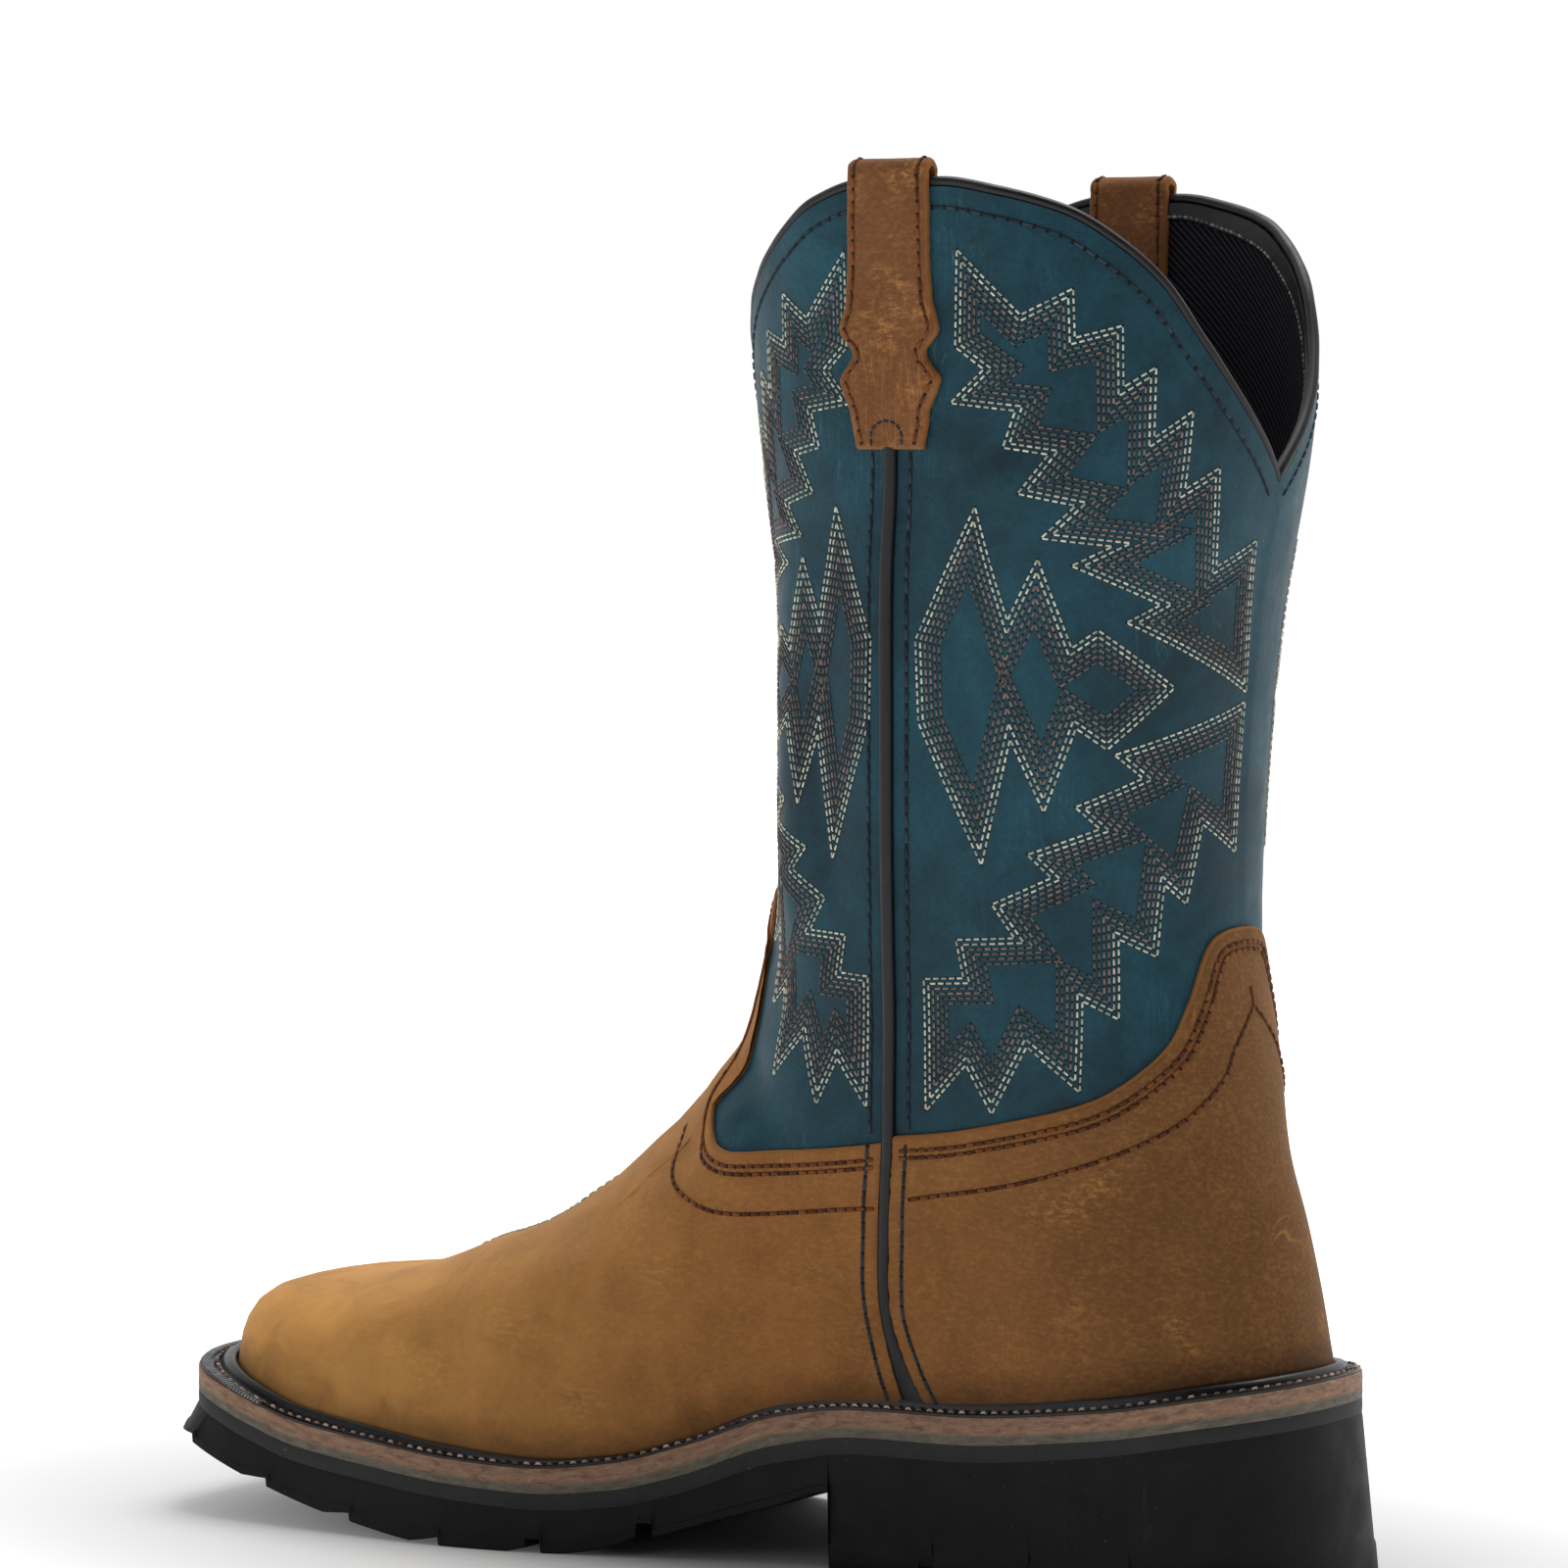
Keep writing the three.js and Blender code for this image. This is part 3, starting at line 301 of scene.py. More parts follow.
def strokeField(strokes, points, side, rise=0.0):  # rise is the share pushed up beside each trough
    total = np.zeros(points.shape[:-1])
    for path, depth, width, strokeSide in strokes:
        path = np.array(path, float)
        nearest = np.full(total.shape, 1e9)
        place = np.zeros(total.shape)
        for k in range(len(path) - 1):
            start, step = path[k], path[k + 1] - path[k]
            dx, dz = points[..., 0] - start[0], points[..., 2] - start[1]
            t = np.clip((dx * step[0] + dz * step[1]) / (step @ step), 0, 1)
            distance = np.hypot(dx - t * step[0], dz - t * step[1])
            closer = distance < nearest
            nearest = np.where(closer, distance, nearest)
            place = np.where(closer, (k + t) / (len(path) - 1), place)
        ends = np.clip(np.minimum(place, 1 - place) * 5 + 0.25, 0, 1)
        across = nearest / width
        swell = np.exp(-across ** 2) - rise * np.exp(-(across - 1.9) ** 2)
        on = 1 if strokeSide == 0 else np.asarray(side) == strokeSide
        total = total + depth * swell * ends * on
    return total


# Leather surface moved out by a distance, with its creases
def shell(down, turn, side, out=0.0):
    point = bare(down, turn, side)
    height = strokeField(creases, point, side, 0.35) + out
    return point + normalAt(down, turn, side) * height[..., None]


scallop = np.array([
    [0, 1, 1], [0.09, 0.74, 0.74], [0.15, 0.53, 0.53], [0.2, 0.385, 0.33], [0.25, 0.28, 0.2],
    [0.305, 0.175, 0.1], [0.38, 0.05, 0.035], [0.45, 0, 0], [0.5, 0, 0],
])


def arcShares(down, turns):  # share of the way round one side of a section
    way = travelled(bare(down, turns, 1))
    return way / way[-1]


topTurns = np.linspace(0, 1, 241)
topShares = arcShares(0.0, topTurns)


def toplineDrop(turn):
    share = np.interp(turn, topTurns, topShares)
    front = smoothThrough(scallop[:, 0], scallop[:, 1])(share)
    back = smoothThrough(scallop[:, 0], scallop[:, 2])(1 - share)
    z = levelZ(2) - np.maximum(np.where(share < 0.5, front, back), 0) * last["scallopDepth"]
    return downWhere(lambda down: sectionAt(down)[..., 1] > z, z.shape, 0.5)


def evenTurns(down, count):
    turns = np.linspace(0, 1, 801)
    return np.interp(np.linspace(0, 1, count + 1), arcShares(down, turns), turns)


def wholeRing(down, count):  # turns and sides round the outer side and back along the inner
    turns = evenTurns(down, count)
    turn = np.concatenate([turns, turns[-2:0:-1]])
    return turn, np.where(np.arange(len(turn)) <= count, 1, -1)


def srgb(code):  # hex colour to linear red, green, blue, alpha
    values = [int(code[i:i + 2], 16) / 255 for i in (1, 3, 5)]
    return [v / 12.92 if v <= 0.04045 else ((v + 0.055) / 1.055) ** 2.4 for v in values] + [1]


def socketOf(source):  # a node stands for its first live output
    if isinstance(source, bpy.types.NodeSocket):
        return source
    return next(s for s in source.outputs if s.enabled)


def addNode(tree, kind, settings=None, links=None):  # settings by name or socket number, hex text is a colour
    node = tree.nodes.new(kind)
    for name, value in (settings or {}).items():
        if name == "stops":  # a colour ramp's places and colours
            points = node.color_ramp.elements
            while len(points) < len(value):
                points.new(0.5)
            for point, (place, colour) in zip(points, value):
                point.position = place
                point.color = srgb(colour) if isinstance(colour, str) else [colour] * 3 + [1]
        elif isinstance(name, int) or name in node.inputs:
            node.inputs[name].default_value = srgb(value) if str(value).startswith("#") else value
        else:
            setattr(node, name, value)
    for name, source in (links or {}).items():
        tree.links.new(socketOf(source), node.inputs[name])
    return node


def addObject(name, data):
    added = bpy.data.objects.new(name, data)
    bpy.context.scene.collection.objects.link(added)
    return added


def makePiece(name, points, faces, materials, faceMaterial=None, attributes=None, sharp=50):
    mesh = bpy.data.meshes.new(name)
    mesh.from_pydata((np.asarray(points, float) / 1000).tolist(), [], [list(map(int, f)) for f in faces])
    for material in materials:
        mesh.materials.append(material)
    if faceMaterial is not None:
        mesh.polygons.foreach_set("material_index", np.asarray(faceMaterial, np.int32))
    for key, values in (attributes or {}).items():
        mesh.attributes.new(key, "FLOAT", "POINT").data.foreach_set("value", np.asarray(values, np.float32))
    mesh.validate()
    mesh.update()
    mesh.shade_smooth()
    mesh.set_sharp_from_angle(angle=math.radians(sharp))
    return addObject(name, mesh)


def settle(piece, slot, *nodes):
    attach(piece, "root")
    if nodes:
        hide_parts(*nodes)


# Quads between rows of points; rows and columns close on themselves where asked
def gridQuads(rows, columns, closeRows=False, closeColumns=False):
    r = np.arange(rows if closeRows else rows - 1)
    c = np.arange(columns if closeColumns else columns - 1)
    r, c = (g.ravel() for g in np.meshgrid(r, c, indexing="ij"))
    r2, c2 = (r + 1) % rows, (c + 1) % columns
    return np.stack([r * columns + c, r2 * columns + c, r2 * columns + c2, r * columns + c2], 1)


def volumeOf(points, quads):
    a, b, c, d = (np.asarray(points)[quads[:, k]] for k in range(4))
    return (np.cross(a, b) * c).sum() + (np.cross(a, c) * d).sum()


def outwards(points, quads):
    return quads if volumeOf(points, quads) > 0 else quads[:, ::-1]


def closedTube(rings):  # points and faces of rings that also close from the last to the first
    points = np.reshape(rings, (-1, 3))
    return points, outwards(points, gridQuads(*np.shape(rings)[:2], True, True))


# Closed slab from two equal grids of points, an outer and an inner face
def slab(outer, inner):
    rows, columns = outer.shape[:2]
    points = np.concatenate([outer.reshape(-1, 3), inner.reshape(-1, 3)])
    half = rows * columns
    index = np.arange(half).reshape(rows, columns)
    border = np.concatenate([index[0, :-1], index[:-1, -1], index[-1, :0:-1], index[:0:-1, 0]])
    after = np.roll(border, -1)
    sides = np.stack([border, border + half, after + half, after], 1)
    front = gridQuads(rows, columns)
    return points, outwards(points, np.concatenate([front, front[:, ::-1] + half, sides]))


# Looks. A Mix node of two colours takes its amount at 0 and the colours at 6 and 7.
def newMaterial(name, **values):
    material = bpy.data.materials.new(name)
    material.use_nodes = True
    tree = material.node_tree
    shader = tree.nodes["Principled BSDF"]
    for key, value in values.items():
        shader.inputs[key.replace("_", " ")].default_value = srgb(value) if isinstance(value, str) else value
    return material, tree, shader, addNode(tree, "ShaderNodeTexCoord").outputs["Object"]


def perMetre(size):  # noise scale for one blotch of so many mm
    return 1000 / size


def finish(tree, shader, colour, roughness, *layers):  # each layer: height, depth in mm, strength
    tree.links.new(socketOf(colour), shader.inputs["Base Color"])
    if roughness is not None:
        tree.links.new(socketOf(roughness), shader.inputs["Roughness"])
    below = {}
    for height, depth, strength in layers:
        settings = {"Distance": depth / 1000, "Strength": strength}
        below = {"Normal": addNode(tree, "ShaderNodeBump", settings, {"Height": height, **below})}
    tree.links.new(socketOf(below["Normal"]), shader.inputs["Normal"])


def scratches(tree, place, size, turn, cover):  # thin straight marks, thinned out by a slow noise
    longWay = addNode(tree, "ShaderNodeMapping", {"Scale": (1, 0.07, 0.07), "Rotation": turn},
                      {"Vector": place})
    lines = addNode(tree, "ShaderNodeTexNoise", {"Scale": perMetre(size), "Detail": 1, "Roughness": 0.4,
                                                 "Distortion": 0.3},
                    {"Vector": longWay})
    thin = addNode(tree, "ShaderNodeValToRGB", {"stops": [(0.49, 0), (0.5, 1), (0.51, 0)]}, {"Fac": lines})
    slow = addNode(tree, "ShaderNodeTexNoise", {"Scale": perMetre(38), "Detail": 2}, {"Vector": place})
    patches = addNode(tree, "ShaderNodeMapRange", {"From Min": 1 - cover, "From Max": 1.12 - cover},
                      {"Value": slow})
    return addNode(tree, "ShaderNodeMath", {"operation": "MULTIPLY"}, {0: thin, 1: patches})


# Colour taken towards a tint by so much, as a source rises or falls between two values
def tinted(tree, colour, tint, source, low, high, least, most, **how):
    settings = {"From Min": low, "From Max": high, "To Min": least, "To Max": most, **how}
    amount = addNode(tree, "ShaderNodeMapRange", settings, {"Value": source})
    return addNode(tree, "ShaderNodeMix", {"data_type": "RGBA", 7: tint}, {0: amount, 6: colour})


# Sets of scratches: spacing in mm, direction
def scratched(tree, colour, tint, place, strength, cover, *sets):
    for size, turn in sets:
        marks = scratches(tree, place, size, turn, cover)
        amount = addNode(tree, "ShaderNodeMath", {"operation": "MULTIPLY", 1: strength}, {0: marks})
        colour = addNode(tree, "ShaderNodeMix", {"data_type": "RGBA", 7: tint}, {0: amount, 6: colour})
    return colour


# Oiled pull-up leather, dyed teal: cloudy wax bloom, fine grain, pale scratches where the wax has moved
def tealLeather():
    material, tree, shader, place = newMaterial("oiledLeatherTeal", Roughness=0.5, IOR=1.5,
                                                Specular_IOR_Level=0.17)
    cloud = addNode(tree, "ShaderNodeTexNoise", {"Scale": perMetre(42), "Detail": 5, "Roughness": 0.62,
                                                 "Distortion": 0.6},
                    {"Vector": place})
    colour = addNode(tree, "ShaderNodeValToRGB", {"stops": [(0.3, "#0b242d"), (0.5, "#143945"),
                                                            (0.7, "#1d4d5a")]}, {"Fac": cloud})
    blotch = addNode(tree, "ShaderNodeTexNoise", {"Scale": perMetre(7), "Detail": 4, "Roughness": 0.65},
                     {"Vector": place})
    colour = tinted(tree, colour, "#2a5866", blotch, 0.4, 0.75, 0, 0.34)
    pores = addNode(tree, "ShaderNodeTexNoise", {"Scale": perMetre(1.1), "Detail": 3, "Roughness": 0.7},
                    {"Vector": place})
    colour = tinted(tree, colour, "#0c1f28", pores, 0.35, 0.6, 0.3, 0)
    colour = scratched(tree, colour, "#4f7f8c", place, 0.3, 0.42,
                       (2.2, (0.3, 0.5, 0.9)), (1.8, (1.9, -0.7, 0.2)), (1.5, (0.9, 1.1, -0.6)))
    rough = addNode(tree, "ShaderNodeMapRange", {"From Min": 0.3, "From Max": 0.7, "To Min": 0.42,
                                                 "To Max": 0.6}, {"Value": blotch})
    grain = addNode(tree, "ShaderNodeTexVoronoi", {"Scale": perMetre(0.8), "feature": "SMOOTH_F1"},
                    {"Vector": place})
    finish(tree, shader, colour, rough, (grain, 0.1, 0.5), (pores, 0.1, 0.4), (blotch, 0.25, 0.35))
    return material


# Oiled nubuck: soft nap, golden where it is rubbed at the toe, darker and browner at the heel.
# "foot" is the height over the sole in mm, which drives painted shade near the sole, "rim" the way in from a
# cut edge, "scuff" the rubbed places.
def tanLeather(name, along, dark, pale, edge, worn):
    material, tree, shader, place = newMaterial(name, Roughness=0.72, IOR=1.45, Specular_IOR_Level=0.2,
                                                Sheen_Weight=0.1, Sheen_Roughness=0.45, Sheen_Tint="#d9a866")
    parts = addNode(tree, "ShaderNodeSeparateXYZ", links={"Vector": place})
    wander = addNode(tree, "ShaderNodeTexNoise", {"Scale": perMetre(60), "Detail": 3}, {"Vector": place})
    shifted = addNode(tree, "ShaderNodeMath", {"operation": "MULTIPLY_ADD", 1: 0.06},
                      {0: wander, 2: parts.outputs["X"]})
    share = addNode(tree, "ShaderNodeMapRange", {"From Min": -0.01, "From Max": 0.29}, {"Value": shifted})
    colour = addNode(tree, "ShaderNodeValToRGB", {"stops": along}, {"Fac": share})
    blotch = addNode(tree, "ShaderNodeTexNoise", {"Scale": perMetre(16), "Detail": 5, "Roughness": 0.6,
                                                  "Distortion": 0.5},
                     {"Vector": place})
    colour = tinted(tree, colour, dark, blotch, 0.35, 0.72, 0.42, 0)
    brushed = addNode(tree, "ShaderNodeMapping", {"Scale": (0.6, 0.8, 1), "Rotation": (0.3, 0.5, 0)},
                      {"Vector": place})
    nap = addNode(tree, "ShaderNodeTexNoise", {"Scale": perMetre(0.95), "Detail": 4, "Roughness": 0.7},
                  {"Vector": brushed})
    colour = tinted(tree, colour, pale, nap, 0.45, 0.75, 0, 0.22)
    # rubbed places, broken into short strokes
    strokesAt = addNode(tree, "ShaderNodeMapping", {"Scale": (0.55, 0.6, 1.3), "Rotation": (0, 0.4, 0)},
                        {"Vector": place})
    strokes = addNode(tree, "ShaderNodeTexNoise", {"Scale": perMetre(1.5), "Detail": 4, "Roughness": 0.75,
                                                   "Distortion": 0.4},
                      {"Vector": strokesAt})
    strong = addNode(tree, "ShaderNodeMapRange", {"From Min": 0.48, "From Max": 0.66, "To Max": 0.62},
                     {"Value": strokes})
    slow = addNode(tree, "ShaderNodeTexNoise", {"Scale": perMetre(11), "Detail": 3, "Roughness": 0.6},
                   {"Vector": place})
    patches = addNode(tree, "ShaderNodeMapRange", {"From Min": 0.46, "From Max": 0.66, "To Max": worn},
                      {"Value": slow})
    scuff = addNode(tree, "ShaderNodeAttribute", {"attribute_name": "scuff"})
    bothRubbed = addNode(tree, "ShaderNodeMath", {"operation": "ADD"}, {0: patches, 1: scuff})
    amount = addNode(tree, "ShaderNodeMath", {"operation": "MULTIPLY"}, {0: strong, 1: bothRubbed})
    colour = addNode(tree, "ShaderNodeMix", {"data_type": "RGBA", 7: pale}, {0: amount, 6: colour})
    colour = scratched(tree, colour, pale, place, 0.4, 0.42,
                       (3.4, (0.2, 1.2, 0.4)), (2.0, (0.5, -0.4, 0.2)), (1.6, (1.2, 0.3, 1.0)))
    # painted shade: darker and browner over the lowest 17 mm above the sole, where the upper curves under
    foot = addNode(tree, "ShaderNodeAttribute", {"attribute_name": "foot"})
    height = addNode(tree, "ShaderNodeMath", {"operation": "MULTIPLY_ADD", 1: 7}, {0: blotch, 2: foot})
    colour = tinted(tree, colour, "#1f0f04", height, 3.5, 17, 0.6, 0,
                    interpolation_type="SMOOTHSTEP")
    rim = addNode(tree, "ShaderNodeAttribute", {"attribute_name": "rim"})
    colour = tinted(tree, colour, edge, rim, 0.35, 0.8, 0.85, 0,
                    interpolation_type="SMOOTHSTEP")
    finish(tree, shader, colour, None, (nap, 0.12, 0.45), (blotch, 0.3, 0.3))
    return material


# Satin polyurethane skin over a cord: nearly black with a blue cast, soft highlight along its length
def blackTrim():
    material, tree, shader, place = newMaterial("satinTrimBlack", Roughness=0.42, IOR=1.5,
                                                Specular_IOR_Level=0.36)
    mottle = addNode(tree, "ShaderNodeTexNoise", {"Scale": perMetre(3), "Detail": 3}, {"Vector": place})
    colour = addNode(tree, "ShaderNodeValToRGB", {"stops": [(0.3, "#030305"), (0.7, "#0b0b0e")]},
                     {"Fac": mottle})
    rough = addNode(tree, "ShaderNodeMapRange", {"From Min": 0.3, "From Max": 0.7, "To Min": 0.36,
                                                 "To Max": 0.5}, {"Value": mottle})
    pores = addNode(tree, "ShaderNodeTexNoise", {"Scale": perMetre(0.7), "Detail": 2}, {"Vector": place})
    finish(tree, shader, colour, rough, (pores, 0.05, 0.4))
    return material


# Black twill lining: diagonal ribs 1.3 mm apart, drawn from height and place round the shaft, with painted
# highlight on the rib tops and painted shade in the troughs
def twillLining():
    material, tree, shader, place = newMaterial("twillLiningBlack", Roughness=0.9, Specular_IOR_Level=0.15)
    parts = addNode(tree, "ShaderNodeSeparateXYZ", links={"Vector": place})
    around = addNode(tree, "ShaderNodeAttribute", {"attribute_name": "around"})
    up = addNode(tree, "ShaderNodeMath", {"operation": "MULTIPLY", 1: 1000}, {0: parts.outputs["Z"]})
    slant = addNode(tree, "ShaderNodeMath", {"operation": "MULTIPLY_ADD", 1: -1.15}, {0: around, 2: up})
    phase = addNode(tree, "ShaderNodeMath", {"operation": "MULTIPLY", 1: 3.3}, {0: slant})
    wave = addNode(tree, "ShaderNodeMath", {"operation": "SINE"}, {0: phase})
    rib = addNode(tree, "ShaderNodeMapRange", {"From Min": -1, "From Max": 1}, {"Value": wave})
    # painted highlight and shade: colour follows the rib, lighter on its top, near black in the trough
    colour = addNode(tree, "ShaderNodeValToRGB", {"stops": [(0.35, "#010102"), (0.95, "#35323d")]},
                     {"Fac": rib})
    fuzz = addNode(tree, "ShaderNodeTexNoise", {"Scale": perMetre(0.6), "Detail": 2}, {"Vector": place})
    colour = tinted(tree, colour, "#333338", fuzz, 0.4, 0.7, 0, 0.2)
    finish(tree, shader, colour, None, (rib, 0.25, 0.8), (fuzz, 0.08, 0.4))
    return material


# Moulded rubber with a satin skin: rand bead and welt, with a dusty mottle from a noise; on the welt ribs the
# pale greys are a painted highlight
def satinRubber(name, low, high):
    material, tree, shader, place = newMaterial(name, Roughness=0.33, IOR=1.52, Specular_IOR_Level=0.4)
    dust = addNode(tree, "ShaderNodeTexNoise", {"Scale": perMetre(2.2), "Detail": 4, "Roughness": 0.7},
                   {"Vector": place})
    colour = addNode(tree, "ShaderNodeValToRGB", {"stops": [(0.35, low), (0.75, high)]}, {"Fac": dust})
    rough = addNode(tree, "ShaderNodeMapRange", {"From Min": 0.3, "From Max": 0.75, "To Min": 0.28,
                                                 "To Max": 0.46}, {"Value": dust})
    swell = addNode(tree, "ShaderNodeTexNoise", {"Scale": perMetre(5), "Detail": 2}, {"Vector": place})
    finish(tree, shader, colour, rough, (swell, 0.12, 0.3))
    return material


# Trimmed midsole edge: pinkish brown with slanting grain streaks, greyer and olive towards its foot.
# "along" is the way round the sole in mm and "band" the share of the height.
def midsoleEdge():
    material, tree, shader, _ = newMaterial("trimmedMidsoleBrown", Roughness=0.68, IOR=1.48)
    along = addNode(tree, "ShaderNodeAttribute", {"attribute_name": "along"})
    band = addNode(tree, "ShaderNodeAttribute", {"attribute_name": "band"})
    place = addNode(tree, "ShaderNodeCombineXYZ", links={"X": along, "Y": band})
    slanted = addNode(tree, "ShaderNodeMapping", {"Scale": (0.16, 3.4, 1), "Rotation": (0, 0, 0.2)},
                      {"Vector": place})
    streak = addNode(tree, "ShaderNodeTexNoise", {"Scale": 1.4, "Detail": 6, "Roughness": 0.66,
                                                  "Distortion": 0.5}, {"Vector": slanted})
    fine = addNode(tree, "ShaderNodeTexNoise", {"Scale": 5.5, "Detail": 3, "Roughness": 0.6},
                   {"Vector": slanted})
    brown = [(0.3, "#4e3528"), (0.43, "#80604a"), (0.58, "#94725a"), (0.75, "#a88a70")]
    olive = [(0.3, "#48433a"), (0.6, "#6a6454"), (0.8, "#857c6a")]
    upper = addNode(tree, "ShaderNodeValToRGB", {"stops": brown}, {"Fac": streak})
    lower = addNode(tree, "ShaderNodeValToRGB", {"stops": olive}, {"Fac": streak})
    shift = addNode(tree, "ShaderNodeMath", {"operation": "MULTIPLY_ADD", 1: 0.35}, {0: streak, 2: band})
    settings = {"interpolation_type": "SMOOTHSTEP", "From Min": 0.76, "From Max": 0.92}
    amount = addNode(tree, "ShaderNodeMapRange", settings, {"Value": shift})
    colour = addNode(tree, "ShaderNodeMix", {"data_type": "RGBA"}, {0: amount, 6: upper, 7: lower})
    colour = tinted(tree, colour, "#37281f", fine, 0.3, 0.42, 0.6, 0)
    finish(tree, shader, colour, None, (streak, 0.2, 0.5), (fine, 0.12, 0.4))
    return material


# Matt moulded rubber, grey or black, with a little dust and fine scuffs
def mattRubber(name, low, high, dust):
    material, tree, shader, place = newMaterial(name, Roughness=0.62, IOR=1.5, Specular_IOR_Level=0.24)
    cloud = addNode(tree, "ShaderNodeTexNoise", {"Scale": perMetre(9), "Detail": 4, "Roughness": 0.6},
                    {"Vector": place})
    colour = addNode(tree, "ShaderNodeValToRGB", {"stops": [(0.35, low), (0.7, high)]}, {"Fac": cloud})
    speck = addNode(tree, "ShaderNodeTexNoise", {"Scale": perMetre(0.9), "Detail": 2, "Roughness": 0.6},
                    {"Vector": place})
    colour = tinted(tree, colour, dust, speck, 0.7, 0.78, 0, 0.6)
    colour = scratched(tree, colour, dust, place, 0.2, 0.4, (3.0, (0.1, 0.9, 0.3)))
    rough = addNode(tree, "ShaderNodeMapRange", {"From Min": 0.3, "From Max": 0.7, "To Min": 0.55,
                                                 "To Max": 0.72}, {"Value": cloud})
    pores = addNode(tree, "ShaderNodeTexNoise", {"Scale": perMetre(0.5), "Detail": 3, "Roughness": 0.6},
                    {"Vector": place})
    finish(tree, shader, colour, rough, (pores, 0.05, 0.5), (cloud, 0.2, 0.2))
    return material


# Twisted polyester thread: slightly glossy strands, each stitch a tone of its own, needle holes in painted
# shade
def threadLook(name, low, high, hole="#0a0c0e"):
    material, tree, shader, place = newMaterial(name, Roughness=0.6, IOR=1.5, Specular_IOR_Level=0.22)
    tone = addNode(tree, "ShaderNodeAttribute", {"attribute_name": "tone"})
    colour = addNode(tree, "ShaderNodeValToRGB", {"stops": [(0, low), (1, high)]}, {"Fac": tone})
    twist = addNode(tree, "ShaderNodeTexNoise", {"Scale": perMetre(0.25), "Detail": 1}, {"Vector": place})
    colour = tinted(tree, colour, low, twist, 0.45, 0.7, 0, 0.35)
    # painted shade: the needle-hole discs take the dark hole colour
    inHole = addNode(tree, "ShaderNodeAttribute", {"attribute_name": "hole"})
    colour = addNode(tree, "ShaderNodeMix", {"data_type": "RGBA", 7: hole}, {0: inHole, 6: colour})
    finish(tree, shader, colour, None, (twist, 0.06, 0.5))
    return material


# Footbed fabric: dark felted knit over foam
def footbedFabric():
    material, tree, shader, place = newMaterial("footbedKnitDark", Roughness=0.9, Sheen_Weight=0.25)
    loops = addNode(tree, "ShaderNodeTexVoronoi", {"Scale": perMetre(1.3)}, {"Vector": place})
    colour = addNode(tree, "ShaderNodeValToRGB", {"stops": [(0.1, "#1b1b1c"), (0.6, "#3a3937")]},
                     {"Fac": loops})
    finish(tree, shader, colour, None, (loops, 0.3, 0.6))
    return material


looks = {
    "teal": tealLeather(),
    "tan": tanLeather(
        "oiledNubuckTan", [(0.08, "#684526"), (0.42, "#946234"), (0.7, "#b07d43"), (1, "#dba056")],
        "#5f3c1c", "#c9924e", "#8a5c32", 0.3),
    "strap": tanLeather(
        "oiledNubuckStrap", [(0, "#754a2c"), (1, "#754a2c")], "#4f301a", "#c08a4c", "#8a5a30", 1.0),
    "trim": blackTrim(),
    "lining": twillLining(),
    "gloss": satinRubber("mouldedRubberSatin", "#050607", "#0e0f12"),
    # welt ribs: pale grey painted highlight on the black rubber
    "rib": satinRubber("mouldedRubberDusty", "#6a6f72", "#a3a8aa"),
    "midsole": midsoleEdge(),
    "grey": mattRubber("mouldedRubberGrey", "#242525", "#303130", "#6f706e"),
    "black": mattRubber("mouldedRubberBlack", "#080809", "#0e0e0f", "#4a4a49"),
    "cream": threadLook("polyesterThreadCream", "#8f9488", "#dedec8"),
    "rose": threadLook("polyesterThreadRose", "#565a58", "#9a7d72"),
    "slate": threadLook("polyesterThreadSlate", "#3b4444", "#7d665e"),
    "blush": threadLook("polyesterThreadBlush", "#5a3a30", "#cdb1a2", "#0d0604"),
    "brown": threadLook("polyesterThreadBrown", "#4a240c", "#83491c", "#1c0c04"),
    "ash": threadLook("polyesterThreadAsh", "#3c3f41", "#9ea1a0"),
    "navy": threadLook("polyesterThreadNavy", "#18222c", "#323f4a", "#050607"),
    "footbed": footbedFabric(),
}
print("materials ready:", len(looks))

# Shaft: one hollow wall with leather outside and twill inside
shaft = {"columns": 104, "outerRows": 120, "innerRows": 70}


def buildShaft():
    turn, side = wholeRing(0.2, shaft["columns"])
    drop = toplineDrop(turn)

    def rows(count, out):
        share = (np.arange(count + 1) / count)[:, None]
        down = share + drop * (1 - share) ** 2
        points = shell(down, turn[None], side[None], out)
        points[-1, :, 2] = soleTop(points[-1, :, 0]) + last["seatGap"]
        return points

    outer, inner = rows(shaft["outerRows"], 0.0), rows(shaft["innerRows"], -last["wall"])
    rim = (outer[0] + inner[0]) / 2 + [0, 0, 0.25]
    rings = np.concatenate([outer, inner[::-1], rim[None]])
    points, quads = closedTube(rings)
    row = np.repeat(np.arange(len(rings)), len(turn))
    inside = (row > shaft["outerRows"]).astype(np.int32)
    around = np.tile(travelled(outer[30, :, :2]), len(rings))
    piece = makePiece("shaft", points, quads, [looks["teal"], looks["lining"]], inside,
                      {"around": around})
    settle(piece, "shaft_leather", "upper")


buildShaft()
print("shaft built")

